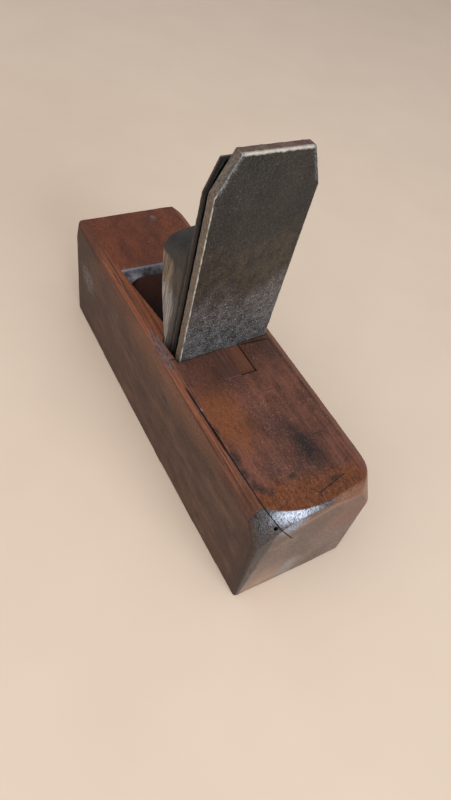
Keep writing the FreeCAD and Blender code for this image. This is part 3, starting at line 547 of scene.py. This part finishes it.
        # Darker under the bevel toward the heel and at the toe, redder and paler high up.
        shadow = self.both(self.fade(self.z, *SHADOW_ABOVE), self.fade(self.x, *SHADOW_BEHIND))
        colour = self.mix(self.both(shadow, 0.6), colour, srgb(50, 31, 24))
        high = self.fade(self.shaken(self.z, self.mottle, 16), *REDDISH_ABOVE)
        colour = self.mix(self.both(high, 0.5), colour, srgb(92, 56, 42))
        colour = self.mix(self.both(self.fade(self.x, *DARK_AHEAD), 0.6), colour, srgb(50, 33, 26))
        paler = self.both(self.fade(self.z, *PALER_ABOVE), self.fade(self.x, *PALER_TO))
        paler = self.both(paler, self.fade(self.x, *PALER_FROM))
        colour = self.mix(self.both(paler, 0.3), colour, srgb(128, 88, 64))
        for centre, reach in BRUISES:
            bruise = self.spot(centre, reach, *BRUISE_LOOK)
            colour = self.mix(self.both(bruise, 0.5), colour, srgb(42, 32, 30))

        # Darker again at the corner beside the heel, and nearly black on its arris.
        corner = self.fade(self.shaken(self.x, self.grime, 5), *CORNER_BEHIND)
        colour = self.mix(self.both(corner, 0.75), colour, srgb(58, 36, 27))
        arris = self.fade(self.shaken(self.x, self.grime, 4), *ARRIS_BEHIND)
        arris = self.both(arris, self.blend(self.fade(self.z, *ARRIS_ABOVE), 0.35, 0.85))
        arris_tone = self.tones(self.grime, 0.35, 0.65, (30, 22, 19), (54, 40, 34))
        return self.mix(arris, colour, arris_tone)

    def heel_colour(self):
        """The heel's face: end grain, pale where it is worn, with a painted grey sheen and warm tones under
        the rounding.
        """
        end_grain = self.noise((4, 0.55, 3.0), 4, 0.7, shift=3)
        colour = self.tones(end_grain, 0.35, 0.66, (72, 55, 47), (108, 88, 77))
        colour = self.mix(self.both(self.spot(*TAN), 0.75), colour, srgb(136, 110, 92))
        colour = self.mix(self.both(self.stroke(*DARK_STRIPE), 0.35), colour, srgb(70, 52, 44))
        colour = self.mix(self.both(self.spot(*WORN_RIGHT), 0.6), colour, srgb(98, 60, 43))
        colour = self.mix(self.both(self.spot(*BLUISH), 0.45), colour, srgb(112, 112, 112))
        colour = self.mix(self.both(self.fade(self.cloud, 0.44, 0.60), 0.4), colour, srgb(64, 50, 44))
        dark_left = self.math("MULTIPLY_ADD", self.z, DARK_LEFT_LEAN, self.shaken(self.y, self.mottle, 4))
        dark_tone = self.tones(self.grime, 0.35, 0.65, (30, 25, 24), (56, 50, 50))
        colour = self.mix(self.both(self.fade(dark_left, *DARK_LEFT), 0.9), colour, dark_tone)
        # A painted grey sheen under the rounding.
        grey = self.tones(self.flakes, 0.38, 0.60, (66, 64, 70), (136, 142, 154))
        colour = self.mix(self.both(self.spot(*LOWER_SHEEN), 0.9), colour, grey)
        rim = self.either(self.stroke(*RIM_LEFT), self.stroke(*RIM_RIGHT))
        rim_tone = self.between(self.flakes, (88, 52, 38), (150, 104, 80))
        return self.mix(self.both(rim, 0.65), colour, rim_tone)

    def rounding_colour(self):
        """The heel's rounding: polished dark, with the window's reflection painted silver in its middle,
        and a warm right end.
        """
        colour = self.tones(self.flakes, 0.38, 0.64, (20, 16, 16), (54, 50, 52))
        # The window's reflection, painted silver.
        painted_shine = self.tones(self.flakes, 0.40, 0.56, (84, 84, 92), (176, 184, 200))
        colour = self.mix(self.spot(*SHINE), colour, painted_shine)
        warm_end = self.fade(self.shaken(self.y, self.flakes, 10), *WARM_RIGHT_OF)
        colour = self.mix(warm_end, colour, self.between(self.flakes, (72, 42, 28), (120, 78, 55)))
        low = self.fade(self.shaken(self.z, self.grime, 16), *DULL_BELOW)
        colour = self.mix(low, colour, self.between(self.flakes, (28, 22, 21), (50, 42, 40)))
        return self.mix(self.brown_corner, colour, self.between(self.flakes, (28, 17, 12), (50, 32, 23)))

    def crumbled(self, colour):
        """Fine dark and pale crumbs all over."""
        crumbs = self.noise((1.0, 0.8, 0.8), 3, 0.8, shift=51)
        colour = self.mix(self.both(self.fade(crumbs, 0.48, 0.36), 0.24), colour, srgb(34, 20, 16))
        return self.mix(self.both(self.fade(crumbs, 0.54, 0.66), 0.09), colour, srgb(176, 134, 108))

    def hollowed(self, colour):
        """Throat: a polished lip painted grey as a reflection, with a painted highlight on its edge, and
        painted shade and grime that make it dark brown below the lip and near black lower down.
        """
        # Painted shade and grime, darker lower in the throat.
        throat_shade_and_grime = self.tones(self.z, *THROAT_SHADE_DEPTH, (16, 8, 6), (60, 30, 20))
        colour = self.mix(self.inner, colour, throat_shade_and_grime)
        # Painted reflection on the lip, then a painted highlight on its edge.
        lip_reflection = self.tones(self.mottle, 0.3, 0.7, (46, 41, 45), (124, 124, 134))
        colour = self.mix(self.lip, colour, lip_reflection)
        lip_highlight = self.both(self.inner, self.fade(self.z, *LIP_HIGHLIGHT_UP))
        lip_highlight = self.both(lip_highlight, self.fade(self.x, *LIP_HIGHLIGHT_ALONG))
        return self.mix(self.both(lip_highlight, 0.75), colour, srgb(134, 132, 144))

    def outlined(self, colour):
        """The crack with its fine ends, the worm hole, and the lines by the block and the irons."""
        colour = self.mix(self.crack, colour, srgb(14, 8, 7))
        colour = self.mix(self.spot(*WORM_HOLE), colour, srgb(12, 7, 6))
        lines = self.either(self.seam, self.both(self.stroke(*IRON_FOOT), 0.8))
        return self.mix(self.both(lines, self.top), colour, srgb(22, 12, 10))

    def roughness(self):
        rough = self.blend(self.fade(self.grime, 0.3, 0.7), 0.34, 0.52)
        levels = [
            (self.sides, 0.62),
            (self.scuff_shine, 0.38),
            (self.heel, 0.50),
            (self.both(self.orange, self.top), 0.34),
            (self.either(self.rounding, self.lip), 0.24),
            (self.both(self.rounding, self.brown_corner), 0.55),
            (self.both(self.inner, self.other(self.lip)), 0.8),
            (self.crack, 0.9),
        ]
        for mask, level in levels:
            rough = self.blend(mask, rough, level)
        return rough

    def relief(self):
        grain = self.math("ADD", self.math("MULTIPLY", self.grain, 0.6), self.pores)
        relief = self.bump(grain, 0.10, self.bump(self.mottle, 0.5))
        end_grain = self.either(self.rounding, self.both(self.heel, 0.4))
        hammered = self.blend(end_grain, 0.5, self.noise((1.6, 0.55, 1.6), 3, 0.75, shift=17))
        relief = self.bump(hammered, 0.13, relief)
        marks = self.either(self.scratches, self.either(self.crack, self.either(self.seam, self.dent)))
        return self.bump(self.other(marks), 0.25, relief)


def stock_wood():
    s = StockWood()
    colour = s.bevelled(s.speckled(s.marked(s.top_colour())))
    side = s.side_colour()
    colour = s.mix(s.sides, colour, side)
    colour = s.mix(s.toe, colour, side)
    colour = s.mix(s.heel, colour, s.heel_colour())
    colour = s.mix(s.both(s.rounding, 0.95), colour, s.rounding_colour())
    colour = s.outlined(s.hollowed(s.crumbled(colour)))
    return s.finish(colour, s.roughness(), s.relief(), Specular_IOR_Level=WOOD_SHINE)


# Fitted block: its chipped right half, its pale streaks, and its dark right and back edges.
CHIPPED = (-1.6, -3.2)
STREAKS = ((-14, 0.5, 66), (7, 4, 2), 0.7, 0.4)
RIGHT_EDGE = (-9.9, -10.6)
BACK_EDGE = (-29.4, -30.0)
BACK_EDGE_RIGHT_OF = (-1.5, -3)


def block_wood():
    s = Shader("block_wood")
    x, y = s.parts(s.place)[:2]
    grain = s.noise((26, 1.2, 1.2), 4, 0.65, shift=2)
    grime = s.noise((2.2, 1.5, 1.5), 4, 0.7, shift=7)
    # Its tone is darkened to match the painted shade on the stock round it.
    colour = s.tones(grain, 0.25, 0.75, (63, 40, 32), (80, 51, 41))
    chipped = s.fade(s.shaken(y, grime, 4), *CHIPPED)
    chip_tone = s.tones(grain, 0.25, 0.75, (78, 46, 34), (106, 65, 48))
    colour = s.mix(s.both(chipped, 0.9), colour, chip_tone)
    streaks = s.both(s.spot(*STREAKS), s.fade(grain, 0.45, 0.6))
    colour = s.mix(s.both(streaks, 0.16), colour, srgb(118, 92, 82))
    back_edge = s.both(s.fade(x, *BACK_EDGE), s.fade(y, *BACK_EDGE_RIGHT_OF))
    colour = s.mix(s.either(s.fade(y, *RIGHT_EDGE), back_edge), colour, srgb(24, 13, 11))
    relief = s.bump(s.math("ADD", grain, grime), 0.08)
    return s.finish(colour, 0.46, relief, Specular_IOR_Level=WOOD_SHINE)


# The bed the irons and the wedge stand on: a point of it and its ways forward, left and up, in mm.
BED_POINT = (-10.35, 0.16, 0.0)
BED_FORWARD = (0.99828, 0.054065, 0.022687)
BED_LEFT = (-0.054873, 0.997822, 0.036634)
BED_UP = (-0.020657, -0.037816, 0.999071)


class BedShader(Shader):
    """Material of a piece on the bed. It measures places and facings along the bed's ways."""

    def along(self, way):
        return self.vector("DOT_PRODUCT", self.vector("SUBTRACT", self.place, BED_POINT), way)

    def turned(self, way):
        return self.vector("DOT_PRODUCT", self.facing, way)


# Wedge: which way its faces look, where its golden part and its dirty top begin up the bed, and where the
# painted shade and the painted black shadow beside the irons lie on its sides ahead of the bed. The shade
# widens above a height.
WEDGE_FRONT_FACING = (0.6, 0.9)
WEDGE_SIDE_FACING = (0.72, 0.93)
GOLDEN_FROM = (91, 99)
DIRTY_FROM = (108.5, 111.5)
WEDGE_SIDE_SHADE = (17.0, 12.5)
WEDGE_SIDE_SHADE_WIDENS_FROM = 84
WEDGE_SIDE_SHADE_WIDENS = -0.22
WEDGE_GAP_SHADOW = (11.6, 10.2)


def wedge_wood():
    s = BedShader("wedge_wood")
    forward = s.along(BED_FORWARD)
    up = s.along(BED_UP)
    streak = s.noise((0.9, 0.9, 22), 4, 0.7, bend=0.4)
    fine = s.noise((0.6, 0.6, 5.0), 3, 0.7, shift=4)
    mottle = s.noise((5, 5, 7), 4, 0.65, shift=8)

    # Sides: pale and streaky, golden above, with painted shade and a painted black shadow beside the irons.
    pale = s.tones(streak, 0.34, 0.64, (88, 80, 76), (168, 160, 154))
    golden = s.tones(streak, 0.36, 0.6, (64, 54, 46), (134, 114, 94))
    side_tone = s.mix(s.fade(s.shaken(up, mottle, 14), *GOLDEN_FROM), pale, golden)
    side_tone = s.mix(s.both(s.fade(fine, 0.45, 0.33), 0.6), side_tone, srgb(44, 36, 31))
    side_shade_line = s.math("MULTIPLY_ADD", s.past(up, WEDGE_SIDE_SHADE_WIDENS_FROM), WEDGE_SIDE_SHADE_WIDENS,
                       s.shaken(forward, streak, 7))
    side_tone = s.mix(s.both(s.fade(side_shade_line, *WEDGE_SIDE_SHADE), 0.85), side_tone, srgb(36, 32, 31))
    side_tone = s.mix(s.fade(forward, *WEDGE_GAP_SHADOW), side_tone, srgb(8, 7, 6))

    # Front: reddish. All the rest is dirty and nearly black.
    dirty = s.tones(mottle, 0.34, 0.66, (18, 15, 15), (42, 37, 36))
    dirty = s.mix(s.both(s.fade(fine, 0.6, 0.72), 0.4), dirty, srgb(120, 112, 108))
    front = s.tones(streak, 0.36, 0.64, (80, 52, 38), (120, 84, 62))
    colour = s.mix(s.fade(s.turned(BED_FORWARD), *WEDGE_FRONT_FACING), dirty, front)
    colour = s.mix(s.fade(s.away(s.turned(BED_LEFT), 0), *WEDGE_SIDE_FACING), colour, side_tone)
    colour = s.mix(s.fade(s.shaken(up, mottle, 5), *DIRTY_FROM), colour, dirty)
    rough = s.blend(s.fade(mottle, 0.3, 0.7), 0.42, 0.62)
    relief = s.bump(s.math("ADD", streak, s.math("MULTIPLY", fine, 0.6)), 0.35)
    return s.finish(colour, rough, relief)


# Steel: the heights up the bed where its tones change, and which way its edges and its top end look.
OLIVE_BELOW = (138, 122)
PURPLE_BELOW = (108, 96)
GREY_BELOW = (90, 80)
RUSTY_ABOVE = (142, 150)
EDGE_FACING = (0.35, 0.7)
END_FACING = (0.7, 0.95)
END_ACROSS = (12, -8)

# How far from the arrises their wear and painted highlight reach, and over how much of the height they
# change on the clip.
TOP_WEAR_AND_SHINE = (1.5, 0.5)
SIDE_WEAR_AND_SHINE = (0.62, 0.25)
CLIP_WEAR_AND_SHINE = (2.4, 0.6)
CLIP_GROWTH = (0, 3)


class WornSteel(BedShader):
    """Dark, pitted steel of a plate that stands on the bed."""

    def __init__(self, name, patina_shift):
        super().__init__(name)
        self.forward = self.along(BED_FORWARD)
        self.left = self.along(BED_LEFT)
        self.up = self.along(BED_UP)
        self.patina = self.noise((16, 16, 30), 4, 0.6, shift=patina_shift)
        self.blotch = self.noise((4.5, 4.5, 6), 4, 0.65, shift=3)
        self.pits = self.noise((1.3, 1.3, 1.6), 5, 0.85, bend=0.6, shift=6)
        self.grit = self.noise((0.5, 0.5, 0.5), 3, 0.7, shift=9)
        self.scratch = self.noise((0.45, 2.4, 0.55), 3, 0.7, bend=2.5, shift=15)
        self.height = self.shaken(self.up, self.patina, 46)
        self.lower = self.fade(self.height, *PURPLE_BELOW)

    def face_colour(self):
        """Brown black above, olive and then purple brown lower down, grey at the foot."""
        colour = self.tones(self.patina, 0.34, 0.66, (22, 18, 15), (36, 30, 25))
        olive = self.tones(self.blotch, 0.36, 0.64, (34, 26, 18), (60, 47, 32))
        colour = self.mix(self.both(self.fade(self.height, *OLIVE_BELOW), 0.8), colour, olive)
        purple = self.tones(self.blotch, 0.4, 0.6, (48, 38, 36), (70, 60, 56))
        colour = self.mix(self.both(self.lower, 0.75), colour, purple)
        grey = self.tones(self.blotch, 0.4, 0.6, (40, 38, 37), (72, 69, 69))
        return self.mix(self.both(self.fade(self.height, *GREY_BELOW), 0.8), colour, grey)

    def pitted(self, colour):
        """Pits, grit and scratches, stronger lower down, and a little rust."""
        pale_pits = self.both(self.fade(self.pits, 0.56, 0.66), self.blend(self.lower, 0.18, 0.6))
        colour = self.mix(pale_pits, colour, srgb(120, 114, 108))
        dark_pits = self.both(self.fade(self.pits, 0.44, 0.34), self.blend(self.lower, 0.45, 0.75))
        colour = self.mix(dark_pits, colour, srgb(22, 19, 18))
        pale_grit = self.both(self.fade(self.grit, 0.56, 0.66), self.blend(self.lower, 0.35, 0.5))
        colour = self.mix(pale_grit, colour, srgb(124, 114, 102))
        scratches = self.both(self.fade(self.scratch, 0.56, 0.64), self.both(self.lower, 0.85))
        colour = self.mix(scratches, colour, srgb(150, 150, 152))
        rust = self.both(self.fade(self.blotch, 0.60, 0.72), self.fade(self.grit, 0.48, 0.60))
        return self.mix(self.both(rust, 0.4), colour, srgb(98, 62, 42))

    def edged(self, colour, edge_darkening):
        """The plate's long edges and its top end."""
        edge_tone = self.tones(self.pits, 0.36, 0.6, (74, 64, 56), (136, 122, 108))
        # The edges are darkened by the given amount.
        edge_tone = self.mix(edge_darkening, edge_tone, srgb(26, 22, 18))
        pale_grit = self.fade(self.grit, 0.56, 0.68)
        edge_tone = self.mix(self.both(pale_grit, 0.4), edge_tone, srgb(150, 136, 118))
        edges = self.fade(self.away(self.turned(BED_LEFT), 0), *EDGE_FACING)
        colour = self.mix(self.both(edges, 0.9), colour, edge_tone)
        end_tone = self.tones(self.left, *END_ACROSS, (112, 92, 76), (120, 86, 80))
        dark_end = self.mix(0.45, end_tone, srgb(50, 38, 34))
        end_tone = self.mix(self.fade(self.blotch, 0.40, 0.60), dark_end, end_tone)
        return self.mix(self.fade(self.turned(BED_UP), *END_FACING), colour, end_tone)

    def rimmed(self, colour, half_width, worn_face, top, clip_low, clip_wide, rim_level):
        """Worn arrises of one face, with painted highlights: a bright one across the top, thin broken ones
        at the sides.
        """
        over_clip = self.past(self.up, clip_low)
        narrower = self.math("MULTIPLY", over_clip, clip_wide / (top - clip_low))
        from_side = self.away(self.math("ADD", self.away(self.left, 0), narrower), half_width)
        from_face = self.away(self.forward, worn_face)
        wander = self.swing(self.noise((1.6, 1.6, 2.6), 3, 0.6, shift=19), 1.5)
        top_rim = self.math("ADD", self.math("ADD", self.away(self.up, top), from_face), wander)
        half_wander = self.math("MULTIPLY", wander, 0.5)
        side_rim = self.math("ADD", self.math("ADD", from_side, from_face), half_wander)
        on_clip = self.fade(over_clip, *CLIP_GROWTH)
        broken = self.fade(self.noise((9, 9, 5), 3, 0.6, shift=27), 0.34, 0.5)
        side_light = self.both(self.blend(on_clip, 0.85, 0.35), broken)
        bright = self.either(self.both(self.fade(top_rim, *TOP_WEAR_AND_SHINE), 0.9),
                             self.both(self.fade(side_rim, *SIDE_WEAR_AND_SHINE), side_light))
        colour = self.mix(self.both(bright, rim_level), colour, srgb(190, 182, 170))
        clip_rim = self.both(self.fade(side_rim, *CLIP_WEAR_AND_SHINE), on_clip)
        clip_tone = self.tones(self.grit, 0.45, 0.65, (58, 55, 53), (140, 140, 142))
        return self.mix(self.both(clip_rim, 0.7), colour, clip_tone)

    def rusted_and_gap_shaded(self, colour, edge_darkening, gap_shadow):
        """Rust at the top of a plate with darkened edges, and a painted black shadow where the plates face
        each other.
        """
        rusty = self.both(self.fade(self.height, *RUSTY_ABOVE), self.fade(self.grit, 0.42, 0.56))
        rusty = self.both(rusty, edge_darkening)
        colour = self.mix(self.both(rusty, 0.8), colour, srgb(92, 50, 44))
        # Painted black shadow where the plates face each other.
        return self.mix(self.fade(self.forward, *gap_shadow), colour, srgb(5, 4, 4))

    def relief(self):
        relief = self.bump(self.pits, 0.25, self.bump(self.blotch, 0.25))
        return self.bump(self.math("ADD", self.grit, self.both(self.scratch, self.lower)), 0.08, relief)


def worn_steel(name, half_width, worn_face, top, clip_low, clip_wide, rim_level, edge_darkening, gap_shadow):
    """Steel of a plate whose face with worn arrises is worn_face mm ahead of the bed: the cutting iron's
    back, and the cap iron's front. Its corners are clipped from clip_low up to top, by clip_wide.
    rim_level is how bright the arrises' wear and painted highlights are, the next argument how much darker
    the edges are, and the last where, ahead of the bed, the painted black shadow between the plates begins
    and is full."""
    s = WornSteel(name, patina_shift=worn_face)
    colour = s.edged(s.pitted(s.face_colour()), edge_darkening)
    colour = s.rimmed(colour, half_width, worn_face, top, clip_low, clip_wide, rim_level)
    colour = s.rusted_and_gap_shaded(colour, edge_darkening, gap_shadow)
    rough = s.blend(s.fade(s.pits, 0.35, 0.65), 0.34, 0.56)
    return s.finish(colour, rough, s.relief(), Metallic=0.45)


def turned_metal(name, dark, light, roughness):
    s = Shader(name)
    blotch = s.noise((2.5, 2.5, 2.5), 4, 0.65)
    grit = s.noise((0.5, 0.5, 0.5), 3, 0.7)
    colour = s.tones(blotch, 0.35, 0.65, dark, light)
    return s.finish(colour, roughness, s.bump(grit, 0.06), Metallic=0.8)


# Worn copies of the pieces: softened edges and slightly uneven faces.
SMOOTHING = 0.5
ROUNDING_PASSES = 60

# The heel's right corner is rounded off more behind and right of these places, growing over a length.
CORNER_BACK = -0.090
CORNER_RIGHT = -0.014
CORNER_GROWTH = 0.012

# The fitted block's left half lies flush with the stock: past these sides its copy closes the seam.
BLOCK_LEFT_SIDE = 0.0045
BLOCK_CHIP_SIDE = -0.0018
BLOCK_BACK = -0.0290
BLOCK_FLUSH = 0.0006


def worn_copy(node, name, body, voxel, passes, unevenness, lump, faces, rounded=None):
    """Piece that stands for a CAD node. voxel is the mesh's fineness in mm, passes how much its edges
    are softened, unevenness and lump the height and size of its waves, and faces its most triangles.
    rounded says for a place how much more it is rounded off, 0 to 1."""
    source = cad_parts[node]
    piece = bpy.data.objects.new(name, source.data.copy())
    bpy.context.scene.collection.objects.link(piece)
    remesh = piece.modifiers.new("remesh", "REMESH")
    remesh.mode = "VOXEL"
    remesh.voxel_size = voxel * MM
    soften = piece.modifiers.new("soften", "SMOOTH")
    soften.factor = SMOOTHING
    soften.iterations = passes
    clouds = bpy.data.textures.new(name + "_waves", "CLOUDS")
    clouds.noise_scale = lump * MM
    clouds.noise_depth = 1
    waves = piece.modifiers.new("waves", "DISPLACE")
    waves.texture = clouds
    waves.texture_coords = "LOCAL"
    waves.strength = unevenness * MM
    waves.mid_level = 1.0
    apply_modifiers(piece)
    if rounded:
        round_off(piece, rounded)
    triangles = 2 * len(piece.data.polygons)
    if triangles > faces:
        fewer = piece.modifiers.new("fewer", "DECIMATE")
        fewer.ratio = faces / triangles
        apply_modifiers(piece)
    piece.data.shade_smooth()
    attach(piece, body)
    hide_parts(node)
    return piece


def apply_modifiers(piece):
    """Turns the piece's modifiers into plain mesh."""
    evaluated = piece.evaluated_get(bpy.context.evaluated_depsgraph_get())
    mesh = bpy.data.meshes.new_from_object(evaluated)
    piece.modifiers.clear()
    piece.data = mesh


def round_off(piece, share):
    """Smooths the piece where share gives more than 0."""
    group = piece.vertex_groups.new(name="rounded")
    for corner in piece.data.vertices:
        weight = share(corner.co)
        if weight:
            group.add([corner.index], weight, "REPLACE")
    rounding = piece.modifiers.new("rounding", "SMOOTH")
    rounding.vertex_group = group.name
    rounding.factor = SMOOTHING
    rounding.iterations = ROUNDING_PASSES
    apply_modifiers(piece)


def heel_right(place):
    """Share of the extra rounding at the right heel corner."""
    back = min(max((CORNER_BACK - place.x) / CORNER_GROWTH, 0), 1)
    aside = min(max((CORNER_RIGHT - place.y) / CORNER_GROWTH, 0), 1)
    return back * aside


def close_seam(block):
    for corner in block.data.vertices:
        if corner.co.y > BLOCK_LEFT_SIDE:
            corner.co.y += BLOCK_FLUSH
        if corner.co.y > BLOCK_CHIP_SIDE and corner.co.x < BLOCK_BACK:
            corner.co.x -= BLOCK_FLUSH


def paint(piece, material):
    piece.data.materials.clear()
    piece.data.materials.append(material)


def add_camera():
    data = bpy.data.cameras.new("camera")
    data.lens = CAMERA_LENS
    data.sensor_width = SENSOR_WIDTH
    data.clip_start = CLIP_START
    camera = bpy.data.objects.new("camera", data)
    camera.location = CAMERA_PLACE
    camera.rotation_euler = Euler([math.radians(angle) for angle in CAMERA_TURN])
    bpy.context.scene.collection.objects.link(camera)
    bpy.context.scene.camera = camera


def add_lamp(name, come_from, far, wide, watts, colour):
    data = bpy.data.lights.new(name, "AREA")
    data.shape = "RECTANGLE"
    data.size, data.size_y = wide
    data.energy = watts
    data.color = colour
    lamp = bpy.data.objects.new(name, data)
    toward = Vector(come_from).normalized()
    lamp.location = toward * far
    lamp.rotation_euler = toward.to_track_quat("Z", "Y").to_euler()
    bpy.context.scene.collection.objects.link(lamp)


def add_world():
    world = bpy.data.worlds.new("world")
    world.use_nodes = True
    background = world.node_tree.nodes["Background"]
    background.inputs["Color"].default_value = (*SKY, 1)
    background.inputs["Strength"].default_value = SKY_LEVEL
    bpy.context.scene.world = world


def add_floor():
    shape = bmesh.new()
    bmesh.ops.create_grid(shape, x_segments=1, y_segments=1, size=FLOOR_HALF)
    mesh = bpy.data.meshes.new("floor")
    shape.to_mesh(mesh)
    shape.free()
    floor = bpy.data.objects.new("floor", mesh)
    floor.location.z = -FLOOR_DROP
    bpy.context.scene.collection.objects.link(floor)
    s = Shader("floor")
    colour = s.between(s.noise(FLOOR_CLOUDS, 3), *FLOOR_TONES)
    paint(floor, s.finish(colour, FLOOR_ROUGHNESS))


bpy.context.scene.view_settings.view_transform = "Standard"
add_camera()
add_lamp("window", WINDOW_FROM, WINDOW_FAR, WINDOW_SIZE, WINDOW_WATTS, WINDOW_COLOUR)
add_lamp("ceiling", CEILING_FROM, CEILING_FAR, CEILING_SIZE, CEILING_WATTS, CEILING_COLOUR)
add_world()
add_floor()

stock = worn_copy("stock", "worn_stock", "stock", voxel=0.45, passes=3, unevenness=0.25,
                  lump=9.0, faces=190000, rounded=heel_right)
iron = worn_copy("cutting_iron", "worn_cutting_iron", "iron", voxel=0.35, passes=4,
                 unevenness=0.03, lump=9.0, faces=90000)
cap = worn_copy("cap_iron", "worn_cap_iron", "cap", voxel=0.35, passes=4, unevenness=0.03,
                lump=9.0, faces=90000)
wedge = worn_copy("wedge", "worn_wedge", "wedge", voxel=0.45, passes=3, unevenness=0.2,
                  lump=8.0, faces=90000)
block = worn_copy("bed_block", "worn_bed_block", "stock", voxel=0.3, passes=1,
                  unevenness=0.05, lump=4.0, faces=30000)
close_seam(block)
paint(stock, stock_wood())
paint(wedge, wedge_wood())
paint(iron, worn_steel("iron_steel", half_width=25.0, worn_face=0.0, top=171.0, clip_low=153.8,
                       clip_wide=8.0, rim_level=0.9, edge_darkening=0.0, gap_shadow=(4.3, 4.7)))
paint(cap, worn_steel("cap_steel", half_width=25.0, worn_face=9.1, top=165.8, clip_low=151.5,
                      clip_wide=5.0, rim_level=0.3, edge_darkening=0.88, gap_shadow=(8.1, 7.5)))
paint(block, block_wood())
paint(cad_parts["cap_screw"], turned_metal("screw_steel", (60, 54, 50), (104, 98, 90), 0.42))
paint(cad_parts["cap_screw_boss"], turned_metal("boss_brass", (110, 84, 44), (160, 128, 70), 0.38))
